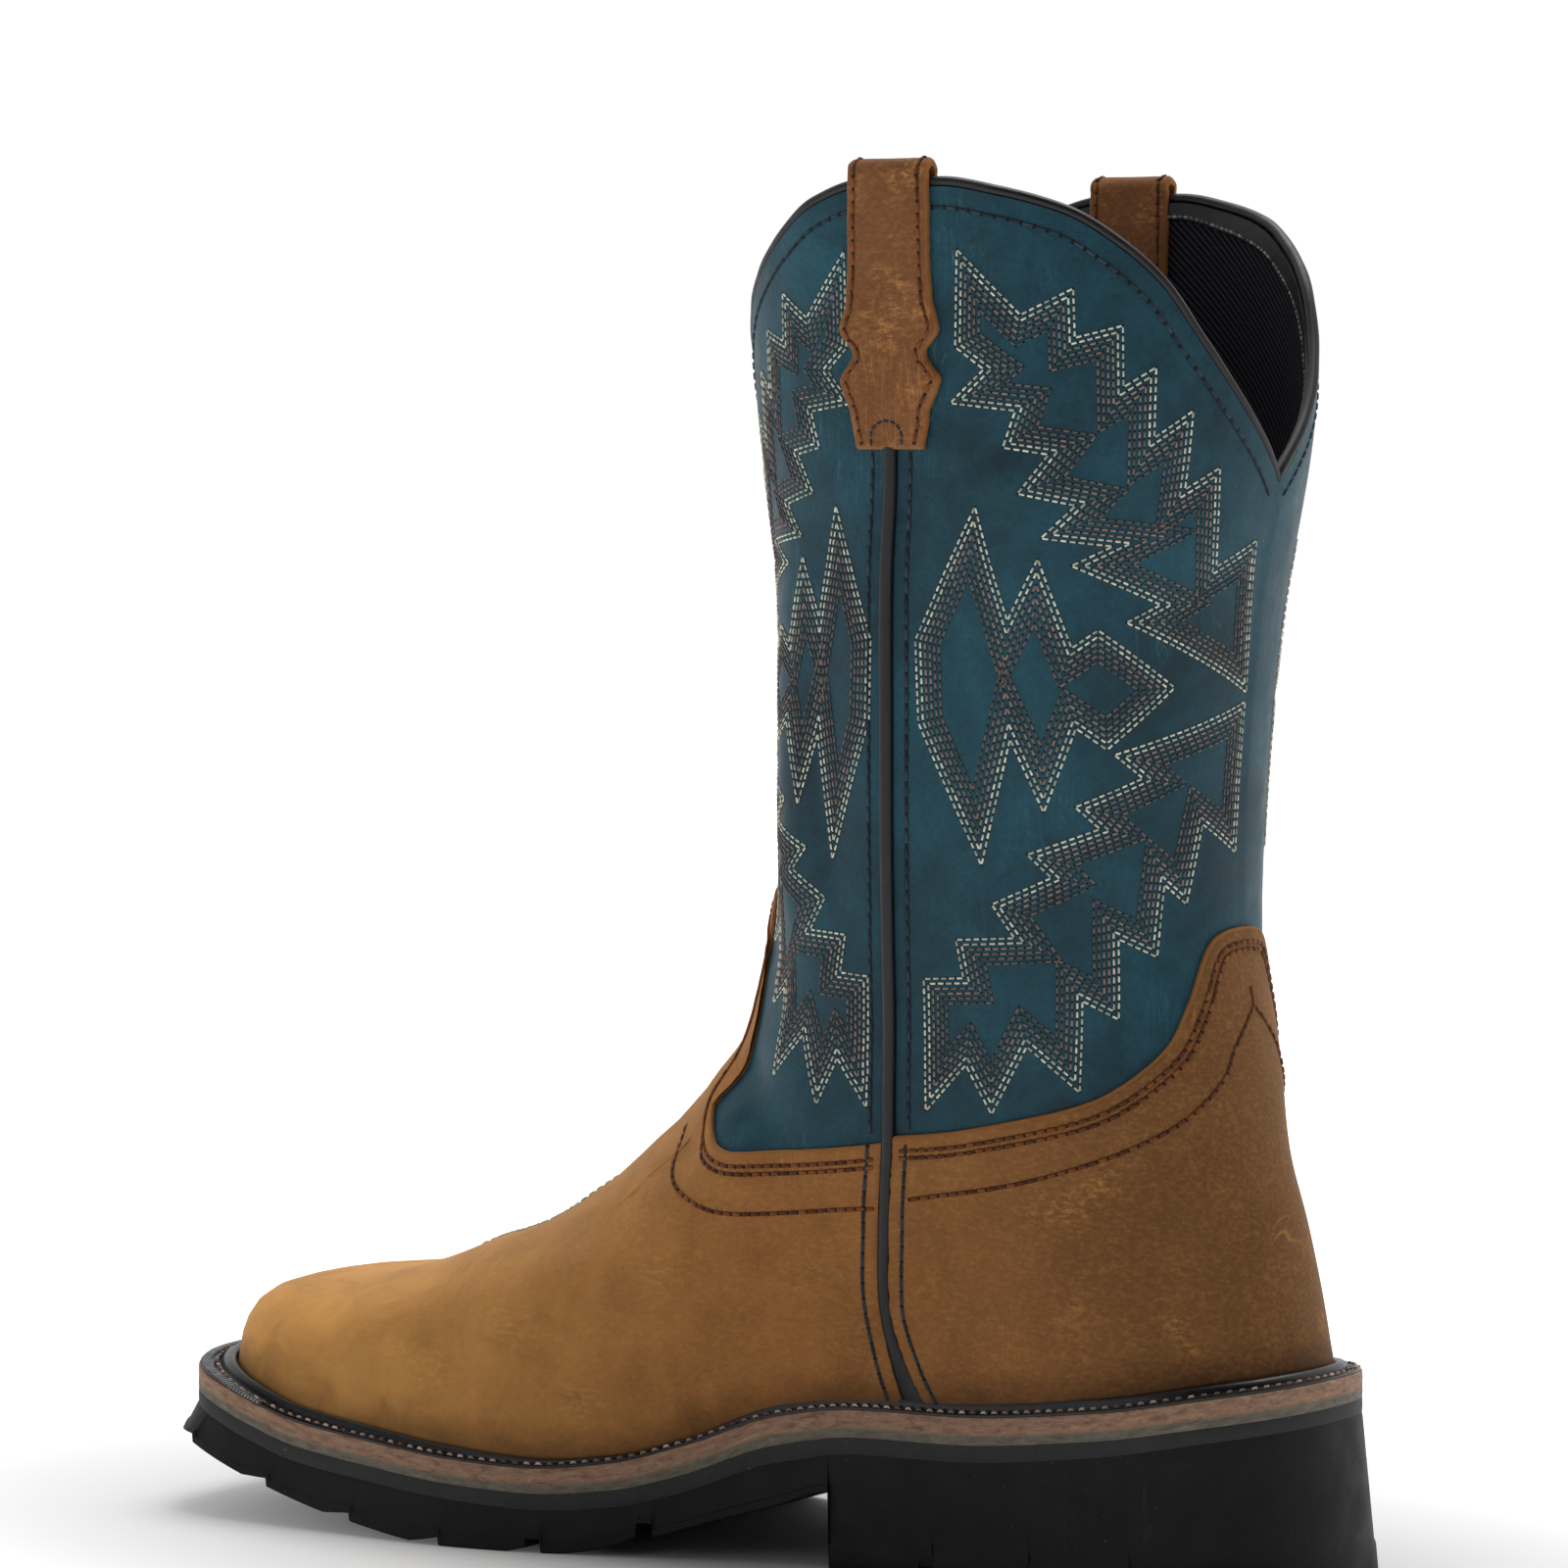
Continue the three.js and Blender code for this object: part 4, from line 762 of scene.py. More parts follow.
# Side seam and the upper edges of vamp and counter, as in the CAD source: along and level
seamLine = np.array([
    [2, 0.282], [1.73, 0.283], [1.587, 0.29], [1.385, 0.294], [1.178, 0.3], [1.011, 0.314],
    [0.702, 0.323], [0.406, 0.327], [0.185, 0.318], [0, 0.306],
])
seamX = smoothThrough(levelZ(seamLine[::-1, 0]), lastX(seamLine[::-1, 1]))
vampEdge = [
    (0.346, 0.995), (0.39, 0.971), (0.432, 0.953), (0.458, 0.937), (0.470, 0.934), (0.482, 0.943),
    (0.491, 0.968), (0.500, 1.01), (0.505, 1.05), (0.4945, 1.097), (0.4775, 1.152), (0.463, 1.207),
    (0.465, 1.245), (0.476, 1.262), (0.5, 1.272),
]
counterEdge = [
    (0.267, 1.018), (0.232, 1.026), (0.16, 1.048), (0.124, 1.07), (0.094, 1.108), (0.083, 1.153),
    (0.078, 1.205), (0.074, 1.226), (0.064, 1.240), (0.05, 1.245),
]
overlay = {
    "edgeAtSeam": {0: 1.004, 1: 1.012},  # level of the vamp's and the counter's edge at the seam
    "slot": 1.35, "columns": 84, "rows": 58, "bevel": 1.3, "wedge": 3.2,
}


seamFoot = float(soleTop(seamX(last["seatHeight"])))


def wedgeAt(z):  # the slot opens and the cord swells below 62 mm
    return overlay["wedge"] * np.clip((62 - z) / 22, 0, 1) ** 1.6


def curveThrough(points, count):  # smooth open curve through points, evenly spaced
    points = np.array(points, float)
    padded = np.concatenate([points[:1] * 2 - points[1:2], points, points[-1:] * 2 - points[-2:-1]])
    place = np.linspace(0, len(points) - 1 - 1e-9, 40 * len(points))
    i = place.astype(int)
    f = (place - i)[:, None]
    return evenly(between(*(padded[i + k] for k in range(4)), f), count)


def evenly(points, count=None, step=None):
    points = np.asarray(points, float)
    way = travelled(points)
    if count is None:
        count = max(2, int(round(way[-1] / step)) + 1)
    at = np.linspace(0, way[-1], count)
    return np.stack([np.interp(at, way, points[:, k]) for k in range(points.shape[1])], 1)


def nearestGap(points, line):
    flat = points.reshape(-1, 3)
    gap = np.concatenate([
        np.linalg.norm(part[:, None] - line[None], axis=2).min(1) for part in np.array_split(flat, 12)
    ])
    return gap.reshape(points.shape[:-1])


# Leather cut along an edge: a patch between edge, centre line, feather line and side seam
def overlayPatch(edge, centre):
    away = 1 if centre == 0 else -1  # slot lies to the toe side or to the heel side of the seam
    tops = [(lastX(a), levelZ(level)) for a, level in edge]
    topZ = float(levelZ(overlay["edgeAtSeam"][centre]))
    tops = [(seamX(topZ) + away * overlay["slot"], topZ)] + tops
    path = curveThrough(tops, 400)
    down, turn = sideParam(path[:, 0], path[:, 1])
    reached = np.argmax(np.abs(turn - centre) < 0.012) or len(turn) - 1
    down, turn = down[:reached + 1].copy(), turn[:reached + 1].copy()
    turn[-1] = centre
    top = evenly(np.concatenate([bare(down, turn, 1), down[:, None], turn[:, None]], 1), 301)[::-1, 3:]

    heights = np.linspace(topZ, seamFoot, 121)
    flare = wedgeAt(heights) * (0.25 if centre == 0 else 0.75)
    seamDown, seamTurn = sideParam(seamX(heights) + away * (overlay["slot"] + flare), heights)
    seamDown[-1] = 1
    seam = np.stack([seamDown, seamTurn], 1)
    seam[0] = top[-1]
    ends = np.linspace(centre, seam[-1, 1], 301)
    low = evenly(np.concatenate([bare(1.0, ends, 1), np.ones((301, 1)), ends[:, None]], 1), 301)[:, 3:]
    middle = np.stack([np.linspace(top[0, 0], 1, 121), np.full(121, float(centre))], 1)

    def at(line, t):
        places = np.linspace(0, 1, len(line))
        return np.stack([np.interp(t, places, line[:, k]) for k in (0, 1)], -1)

    def patch(u, v):
        u1, v1 = u[..., None], v[..., None]
        ruled = (1 - v1) * at(top, u) + v1 * at(low, u) + (1 - u1) * at(middle, v) + u1 * at(seam, v)
        corners = (1 - u1) * (1 - v1) * top[0] + u1 * (1 - v1) * top[-1]
        return ruled - corners - (1 - u1) * v1 * low[0] - u1 * v1 * low[-1]

    return patch


def overlayGrid(edge, centre):
    patch = overlayPatch(edge, centre)
    u = np.linspace(0, 1, overlay["columns"] + 1)
    u = 1 - (1 - u) ** 1.25
    coarse = patch(*np.meshgrid(u, np.linspace(0, 1, 30), indexing="xy"))
    line = bare(coarse[..., 0], coarse[..., 1], 1)
    length = np.linalg.norm(np.diff(line, axis=0), axis=-1).sum(0)
    close = np.array([0, 0.25, 0.5, 0.8, 1.1, 1.4, 1.9, 2.6, 3.4, 4.2, 5.0, 6.0, 7.4])
    rest = overlay["rows"] + 1 - len(close)
    v = []
    for size in length:
        first = close / size
        t = np.linspace(0, 1, rest + 1)[1:]
        v.append(np.concatenate([first, first[-1] + (1 - first[-1]) * t ** 1.12]))
    v = np.array(v).T
    grid = patch(np.broadcast_to(u, v.shape), v)
    return grid[..., 0], grid[..., 1]


def buildOverlay(name, edge, centre, slot):
    down, turn = overlayGrid(edge, centre)
    down, turn = np.clip(down, 0, 1), np.clip(turn, 0, 1)
    halves, rims, feet, worn = [], [], [], []
    for side in (1, -1):
        flat = shell(down, turn, side)
        cut = nearestGap(flat, evenly(flat[0], step=0.6))
        seam = nearestGap(flat, evenly(flat[:, -1], step=0.6))
        bevel = lambda gap, size: np.sqrt(np.clip(1 - (1 - np.clip(gap / size, 0, 1)) ** 2, 0, 1))
        rise = 0.35 + 0.65 * np.minimum(bevel(cut, overlay["bevel"]), 0.25 + 0.75 * bevel(seam, 0.9))
        groove = 0.16 * (np.exp(-((cut - 3.5) / 0.7) ** 2) + np.exp(-((cut - 5.2) / 0.7) ** 2))
        groove = groove + 0.14 * np.exp(-((seam - 3.2) / 0.7) ** 2)
        tongue = np.clip((flat[..., 2] - 88) / 22, 0, 1) * (0.42 if centre == 0 else 0.15)
        outer = shell(down, turn, side, last["overlay"] * rise * (1 - tongue) - groove)
        inner = shell(down, turn, side, 0.12)
        for part in (outer, inner):
            part[..., 2] = np.maximum(part[..., 2], soleTop(part[..., 0]) + last["seatGap"] * 0.5)
        halves.append((outer, inner))
        rims.append(cut)
        feet.append(flat[..., 2] - soleTop(flat[..., 0]))
        worn.append(strokeField(scuffs, flat, side))
    join = lambda k: np.concatenate([halves[0][k][:, ::-1], halves[1][k][:, 1:]], 1)
    spread = lambda pair: np.concatenate([pair[0][:, ::-1], pair[1][:, 1:]], 1).ravel()
    blank = np.zeros(2 * down.size - len(down))
    points, quads = slab(join(0), join(1))
    piece = makePiece(name + "_leather", points, quads, [looks["tan"]],
                      attributes={"rim": np.concatenate([np.minimum(spread(rims), 9), blank]),
                                  "foot": np.concatenate([spread(feet), blank]),
                                  "scuff": np.concatenate([spread(worn), blank])})
    settle(piece, slot, name)
    return down, turn, rims


vampGrid = buildOverlay("vamp", vampEdge, 0, "foot_leather")
counterGrid = buildOverlay("counter", counterEdge, 1, "foot_leather")
print("vamp and counter built")

# Rolled binding: bead on the topline, with its flat inner tail stitched to the lining
binding = {"bead": 1.25, "sides": 12, "tail": 3.6, "tailThick": 0.7}
shaftFall = 290  # mm of height that one whole way down stands for


def toplineRing(count=180):
    turn, side = wholeRing(0.0, count)
    return toplineDrop(turn), turn, side


def buildBinding():
    drop, turn, side = toplineRing()
    edge = shell(drop, turn, side)
    across = normalAt(drop, turn, side)
    along = unit(np.roll(edge, -1, axis=0) - np.roll(edge, 1, axis=0))
    up = unit(np.cross(across, along))
    up = up * np.where(up[:, 2:] < 0, -1, 1)
    size = binding["bead"]
    middle = edge - across * (last["wall"] / 2) + up * (0.15 + size * 0.75)
    angle = np.linspace(0, 2 * np.pi, binding["sides"], endpoint=False)
    wide = 1.12 + 0.05 * np.sin(np.arange(len(turn)) * 0.7)
    tube = np.stack([
        middle + across * (size * wide * math.cos(a))[:, None] + up * (size * math.sin(a)) for a in angle
    ])
    points, quads = closedTube(tube)
    # tail on the inner face
    share = np.array([0, 0.25, 0.5, 0.75, 0.94, 1.0])
    wall = -last["wall"]
    depth = share[:, None] * binding["tail"] / shaftFall
    face = np.array([0.7, 0.75, 0.7, 0.72, 0.6, 0.25]) * binding["tailThick"] / 0.7
    inner = shell(drop + depth, turn[None], side[None], wall - face[:, None])
    back = shell(drop + depth, turn[None], side[None], wall + 0.3)
    tail, tailQuads = closedTube(np.concatenate([inner, back[::-1]]))
    quads = np.concatenate([quads, tailQuads + len(points)])
    piece = makePiece("collar_bead", np.concatenate([points, tail]), quads, [looks["trim"]])
    settle(piece, "binding", "collar_binding")


buildBinding()

# Cords in the side seams, swelling into a wedge over the welt
piping = {"width": 3.3, "height": 2.0, "steps": 120, "around": 12, "strapDrop": 58.5}


def buildPiping(name, side):
    topZ = float(levelZ(2)) - piping["strapDrop"] + 4
    bottomZ = seamFoot + 1.6
    z = np.linspace(topZ, bottomZ, piping["steps"] + 1)
    wedge = wedgeAt(z)
    angle = np.linspace(0, np.pi, piping["around"])
    across = np.cos(angle)[None] * (piping["width"] / 2 + wedge[:, None] / 2) - wedge[:, None] * 0.25
    rise = np.sin(angle)[None] ** 0.85 * piping["height"] * (1 - 0.25 * wedge[:, None] / overlay["wedge"])
    down, turn = sideParam(seamX(z)[:, None] + across, np.broadcast_to(z[:, None], across.shape))
    low = np.where(z < 104, 0.1, 0.02)[:, None]
    cord = shell(down, turn, side, rise + low)
    floor = shell(down, turn, side, 0.02)
    points, quads = slab(cord, floor)
    settle(makePiece(name, points, quads, [looks["trim"]]), "piping", name.replace("cord", "piping"))


buildPiping("side_cord_outer", 1)
buildPiping("side_cord_inner", -1)
print("binding and cords built")

# Pull straps: outline from the outer end up, share of the drop and half widths to toe and heel
strap = {
    "thick": 2.0, "band": 21.2, "drop": 58.5, "inside": 30, "across": 17, "rows": (84, 15, 26),
    "outline": [
        (0, 0.40, 0.41), (0.02, 0.42, 0.42), (0.15, 0.49, 0.48), (0.235, 0.60, 0.60), (0.262, 0.625, 0.625),
        (0.285, 0.60, 0.61), (0.345, 0.455, 0.455), (0.365, 0.445, 0.44), (0.385, 0.46, 0.455),
        (0.44, 0.60, 0.59),
        (0.462, 0.625, 0.615), (0.485, 0.60, 0.60), (0.56, 0.525, 0.53), (0.72, 0.495, 0.50), (1, 0.49, 0.49),
    ],
}


def buildStrap(name, side):
    shape = np.array(strap["outline"])
    topZ = float(levelZ(2))
    armZ = topZ + 2.8
    outside, bent, inside = strap["rows"]
    up = np.linspace(0, 1, outside)
    fall = np.linspace(0, 1, inside) * (armZ - topZ + strap["inside"])
    z = np.concatenate([topZ - strap["drop"] * (1 - up), np.full(bent, armZ), armZ - fall])
    half = np.pi * np.linspace(0, 1, bent + 1)[:-1]
    turn = np.concatenate([np.zeros(outside), half, np.full(inside, np.pi)])
    place = np.concatenate([up, np.ones(bent + inside)])
    toe, heel = (np.interp(place, shape[:, 0], shape[:, k]) * strap["band"] for k in (1, 2))
    rng = np.random.default_rng(11 if side > 0 else 12)
    rough = [np.convolve(rng.normal(0, 0.5, len(z) + 2), [0.25, 0.5, 0.25], "valid") * 0.28 for _ in range(2)]
    u = np.sin(np.linspace(-np.pi / 2, np.pi / 2, strap["across"]))
    toe, heel = toe + rough[0], heel + rough[1]
    x = seamX(topZ) + np.where(u[None] > 0, u[None] * toe[:, None], u[None] * heel[:, None])
    zz = np.broadcast_to(z[:, None], x.shape)
    down, angle = sideParam(x, np.minimum(zz, topZ))
    base = shell(down, angle, side)
    wallY = base[..., 1] - side * last["wall"] / 2
    edge = np.minimum(1 - np.abs(u)[None], 1) * np.minimum(toe, heel)[:, None]
    endGap = np.minimum(np.abs(z - z[0]), 9)[:, None] + np.where(turn[:, None] > 0, 9, 0)
    tail = np.where(turn > 3.1, z - z[-1], 9)[:, None]
    gap = np.minimum(np.minimum(edge, endGap), tail)
    rise = strap["thick"] * (0.45 + 0.55 * np.sqrt(np.clip(1 - (1 - np.clip(gap / 1.1, 0, 1)) ** 2, 0, 1)))
    rise = rise - 0.22 * np.exp(-((edge - 2.0) / 0.75) ** 2)  # pressed in along the stitches
    rise = rise + 0.12 * np.sin(zz * 0.31 + u[None] * 1.7) * (gap > 1.2)
    bend = last["wall"] / 2 + 0.25 + 0.55 * np.sin(turn)[:, None]
    faces = []
    for out in (rise, np.zeros_like(rise)):
        radius = bend + out
        y = wallY + side * radius * np.cos(turn)[:, None]
        faces.append(np.stack([x, y, zz + radius * np.sin(turn)[:, None]], -1))
    points, quads = slab(*faces)
    rim = np.concatenate([np.minimum(gap, 9).ravel() + 0.2, np.zeros(gap.size)])
    marks = {"rim": rim, "foot": np.full(len(rim), 99.0)}  # far above the painted shade near the sole
    piece = makePiece(name, points, quads, [looks["strap"]], attributes=marks)
    settle(piece, "strap_leather", name.replace("strap_loop", "pull_strap"))
    return faces[0], edge


strapGrids = {1: buildStrap("strap_loop_outer", 1), -1: buildStrap("strap_loop_inner", -1)}
print("straps built")

# Sole layers, from a plan outline with one rung of two edges at each place along it
plan = {"toe": 0.417, "ball": 0.5, "waist": 0.324, "heel": 0.347, "frontCap": 0.12, "frontPower": 3.4,
        "backCap": 0.14, "backPower": 2.2, "swing": 0.045}


def planSection(widen):
    wide = [plan[k] * soleSize["width"] + widen for k in ("toe", "ball", "waist", "heel")]
    return np.array([0, 0, 0, 0, *wide, plan["frontCap"], plan["frontPower"], plan["backCap"],
                     plan["backPower"], plan["swing"] * soleSize["width"]])


def rungs(share, spread, widen):  # x, middle and half width at shares from toe to heel
    section = planSection(widen)
    front, back = float(soleX(1)) + spread, soleSize["back"] - spread
    near = 1 - np.clip(share / section[8], 0, 1)
    far = 1 - np.clip((1 - share) / section[10], 0, 1)
    full = (1 - near ** section[9]) ** (1 / section[9]) * (1 - far ** section[11]) ** (1 / section[11])
    half = widthAt(np.broadcast_to(section, (len(share), 13)), share) * full
    return front + (back - front) * share, section[12] * (1 - share) ** 2, half


def loopOf(share, spread, widen, height):  # front, outer side, back, inner side
    x, middle, half = rungs(share, spread, widen)
    z = height(x)
    outer = np.stack([x, middle + half, z], 1)
    inner = np.stack([x, middle - half, z], 1)
    return np.concatenate([outer, inner[-2:0:-1]])


def planShares(extra=()):
    front = plan["frontCap"] * (1 - np.cos(np.linspace(0, np.pi / 2, 26)) ** (2 / plan["frontPower"]))
    back = 1 - plan["backCap"] * (1 - np.cos(np.linspace(0, np.pi / 2, 22)) ** (2 / plan["backPower"]))
    side = np.linspace(plan["frontCap"], 1 - plan["backCap"], 110)
    return np.unique(np.round(np.concatenate([front, side, back, np.atleast_1d(extra)]), 7))


def ladder(count, start, up):  # faces across the plan between its two edges
    loop = 2 * (count - 1)
    i = np.arange(count)
    other = (loop - i) % loop
    faces = [[start + i[0], start + i[1], start + other[1]]]
    faces += [[start + a, start + a + 1, start + other[a + 1], start + other[a]] for a in range(1, count - 2)]
    faces += [[start + count - 2, start + count - 1, start + other[count - 2]]]
    return [f[::-1] for f in faces] if up else faces


def tubeFaces(rows, columns, count):  # rings one above the other, closed at both ends
    return [*gridQuads(rows, columns, False, True), *ladder(count, 0, True),
            *ladder(count, (rows - 1) * columns, False)]


def buildLayer(name, node, slot, look, top, depth, profile):
    share = planShares()
    loops = [loopOf(share, outset, outset, lambda x: top(x) - depth(x) * band) for band, outset in profile]
    columns = len(loops[0])
    along = travelled(loops[1])
    piece = makePiece(name, np.concatenate(loops), tubeFaces(len(loops), columns, len(share)), [look],
                      sharp=35, attributes={
        "band": np.repeat([band for band, _ in profile], columns), "along": np.tile(along, len(loops))})
    faceOutwards(piece)
    settle(piece, slot, node)


def faceOutwards(piece):
    mesh = piece.data
    mesh.calc_loop_triangles()
    tri = np.zeros(len(mesh.loop_triangles) * 3, np.int32)
    mesh.loop_triangles.foreach_get("vertices", tri)
    co = np.zeros(len(mesh.vertices) * 3)
    mesh.vertices.foreach_get("co", co)
    a, b, c = (co.reshape(-1, 3)[tri.reshape(-1, 3)[:, k]] for k in range(3))
    if (np.cross(a, b) * c).sum() < 0:
        mesh.flip_normals()


midsoleProfile = [(0, -0.7), (0.015, -0.25), (0.07, 0), (0.3, 0.05), (0.55, 0.0), (0.8, 0.05), (0.97, 0),
                  (1.03, -0.1)]
midsoleBottom = lambda x: soleTop(x) - midsoleDepth(x)
rubberTop = lambda x: midsoleBottom(x) - soleSize["gap"]
outsoleTop = lambda x: rubberTop(x) - rubberDepth(x) - soleSize["gap"]
buildLayer("midsole_brown", "midsole", "midsole", looks["midsole"], soleTop, midsoleDepth, midsoleProfile)
buildLayer("midsole_grey", "midsole_lower", "grey_rubber", looks["grey"], rubberTop, rubberDepth,
           [(-0.06, -0.1), (0.03, 0), (0.5, 0.04), (0.97, 0), (1.06, -0.1)])
print("midsole built")

# Outsole: tread as a height over the plan, with saw-tooth steps, slots and the heel block
lugs = {
    "pitch": 26.2, "depth": 3.2, "slot": 4, "reach": 24, "step": 2.1, "draft": 0.3, "ramp": 8.6, "first": 251,
}


def treadStations():
    steps = np.arange(lugs["first"], soleSize["heelBreast"] + 1.6 * lugs["pitch"], -lugs["pitch"])
    rear = soleSize["back"] + lugs["pitch"] / 2
    heel = np.arange(soleSize["heelBreast"] - lugs["pitch"], rear, -lugs["pitch"])
    return steps, np.concatenate([steps[-2:], heel - lugs["slot"] / 2])


steps, slots = treadStations()


def treadZ(x, deep):  # height of the tread; deep is 1 near the edge, where the slots are
    z = np.where(x > soleSize["heelBreast"] + 0.2, treadHeight(x), 0.0)
    for x0 in steps:
        run = np.clip((x0 + lugs["ramp"] - x) / lugs["ramp"], 0, 1)
        z = np.where((x > x0 + 0.01) & (x < x0 + lugs["ramp"]), z + lugs["step"] * run, z)
    for x0 in slots:
        foot = treadHeight(x0) if x0 > soleSize["heelBreast"] else 0.0
        inside = (x > x0 + 0.01) & (x < x0 + lugs["slot"] - 0.01)
        z = np.where(inside, np.maximum(z, z + (foot + lugs["depth"] - z) * deep), z)
    return z


def buildOutsole():
    front, back = float(soleX(1)) + soleSize["flare"], soleSize["back"] - soleSize["flare"]
    marks = [soleSize["heelBreast"], soleSize["heelBreast"] + 0.4]
    for x0 in slots:
        marks += [x0, x0 + lugs["draft"], x0 + lugs["slot"] - lugs["draft"], x0 + lugs["slot"]]
    for x0 in steps:
        marks += [x0, x0 + lugs["draft"], x0 + lugs["ramp"]]
    share = planShares((np.array(marks) - front) / (back - front))
    share = share[np.concatenate([[True], np.diff(share) > 2e-4])]
    upper = loopOf(share, 0, 0, outsoleTop)
    lower = loopOf(share, soleSize["flare"], soleSize["sideFlare"], lambda x: treadZ(x, 1.0))
    loops = []
    for f, outset in [(-0.012, -0.1), (0.03, 0), (0.1, 0), (0.25, 0), (0.4, 0), (0.55, 0), (0.7, 0),
                      (0.76, 0), (0.785, 0.32), (0.9, 0.32), (0.965, 0.3), (1, -0.1)]:
        loop = loopOf(share, soleSize["flare"] * f + outset, soleSize["sideFlare"] * f + outset, treadHeight)
        loop[:, 2] = upper[:, 2] + (lower[:, 2] - upper[:, 2]) * f
        loops.append(loop)
    points = np.concatenate(loops)
    columns = len(upper)
    faces = list(gridQuads(len(loops), columns, False, True)) + ladder(len(share), 0, True)
    # underside, in lines between the edges
    x, centre, half = rungs(share, soleSize["flare"], soleSize["sideFlare"])
    reach = np.minimum(lugs["reach"], half * 0.72)
    offsets = [half, half - reach * 0.5, half - reach + 0.4, half - reach, (half - reach) * 0.5]
    across = [*offsets, half * 0, *[-o for o in offsets[::-1]]]
    deep = [1, 1, 1, 0, 0, 0, 0, 0, 1, 1, 1]
    lines = [np.stack([x, centre + a, treadZ(x, d)], 1) for a, d in zip(across, deep)]
    start = len(points)
    low = (len(loops) - 1) * columns
    loopIndex = np.arange(len(share))
    index = [low + loopIndex]
    for k in range(1, 10):
        index.append(start + (k - 1) * len(share) + loopIndex)
    index.append(low + (2 * (len(share) - 1) - loopIndex) % (2 * (len(share) - 1)))
    points = np.concatenate([points, *lines[1:10]])
    for a, b in zip(index[:-1], index[1:]):
        for i in range(len(share) - 1):
            faces.append([a[i], b[i], b[i + 1], a[i + 1]])
    # the two tips share one point
    tips = {int(ix[0]): int(index[0][0]) for ix in index} | {int(ix[-1]): int(index[0][-1]) for ix in index}
    clean = []
    for face in faces:
        ring = []
        for p in (tips.get(int(q), int(q)) for q in face):
            if p not in ring:
                ring.append(p)
        if len(ring) > 2:
            clean.append(ring)
    used = sorted({p for f in clean for p in f})
    number = {p: k for k, p in enumerate(used)}
    piece = makePiece("outsole_black", points[used], [[number[p] for p in f] for f in clean],
                      [looks["black"]], sharp=30)
    faceOutwards(piece)
    settle(piece, "outsole_rubber", "outsole")


buildOutsole()
print("outsole built")

# Rand bead and ribbed welt in one ring
welt = {"wide": 3.1, "share": 0.44, "strip": 0.5, "groove": 0.2, "out": 2.0,
        "beadAlong": [-40, 70, 95, 112, 125, 145, 170, 230], "bead": [2.9, 2.9, 2.5, 1.6, 1.5, 2.0, 2.7, 3.2]}


def planPoint(turn, side, inset):
    section = np.broadcast_to(planSection(-inset), (len(turn), 13))
    share, full = stationAt(section, turn)
    front, back = float(soleX(1)) - inset, soleSize["back"] + inset
    x = front + (back - front) * share
    return np.stack([x, section[:, 12] * (1 - share) ** 2 + side * widthAt(section, share) * full], 1)


def weltFrame():
    turn, side = wholeRing(1.0, 170)
    foot = bare(1.0, turn, side)
    out = normalAt(np.full(len(turn), 1.0), turn, side) * [1, 1, 0]
    out = unit(out)
    foot = (foot + out * welt["out"])[:, :2]
    edge = planPoint(turn, side, 0.35)
    span = np.linalg.norm(edge - foot, axis=1)
    across = (edge - foot) / span[:, None]
    return turn, side, foot, across, span, out


def buildWelt():
    turn, side, foot, across, span, out = weltFrame()
    wide = np.clip(span * welt["share"], 1.3, welt["wide"])
    rest = span - wide
    whole = np.ones(len(turn))
    lean = shell(0.985 * whole, turn, side) - shell(whole, turn, side)
    lean = (lean * out)[:, :2].sum(1)
    b = np.interp(foot[:, 0], welt["beadAlong"], welt["bead"])
    s, g = welt["strip"], welt["groove"]
    shape = [  # across in mm, height
        (-0.3, 0.05), (-0.25 + lean * 0.8, b * 0.82), (0.1 * wide + lean, b * 0.97),
        (0.35 * wide + lean * 0.8, b),
        (0.62 * wide + lean * 0.6, b * 0.93), (0.86 * wide + lean * 0.3, b * 0.72), (wide, b * 0.45),
        (wide + 0.04 * rest, g + 0.25), (wide + 0.12 * rest, g), (wide + 0.36 * rest, g),
        (wide + 0.42 * rest, s - 0.12),
        (wide + 0.47 * rest, s), (span - 0.35, s - 0.02), (span - 0.05, s - 0.3), (span, 0.5),
        (span - 0.1, 0.05),
    ]
    rings = []
    for reach, height in shape:
        flat = foot + across * np.broadcast_to(reach, span.shape)[:, None]
        rings.append(np.concatenate([flat, (soleTop(flat[:, 0]) + height)[:, None]], 1))
    settle(makePiece("welt_ring", *closedTube(rings), [looks["gloss"]], sharp=60), "welt_rubber", "welt")
    return wide, rest


weltWide, weltRest = buildWelt()


# Footbed: cupped, a little inside the wall
def buildInsole():
    steps = 90
    turn, side = wholeRing(1.0, steps)
    rings = []
    for inset, height in [(3.4, 0.7), (3.3, 3.0), (3.8, 3.9), (5.5, 3.4), (9, 2.9)]:
        ring = shell(np.full(len(turn), 1.0), turn, side, -inset)
        ring[:, 2] = soleTop(ring[:, 0]) + height
        rings.append(ring)
    faces = tubeFaces(len(rings), len(turn), steps + 1)
    piece = makePiece("footbed", np.concatenate(rings), faces, [looks["footbed"]])
    faceOutwards(piece)
    settle(piece, "insole", "insole")


buildInsole()
print("welt and footbed built")

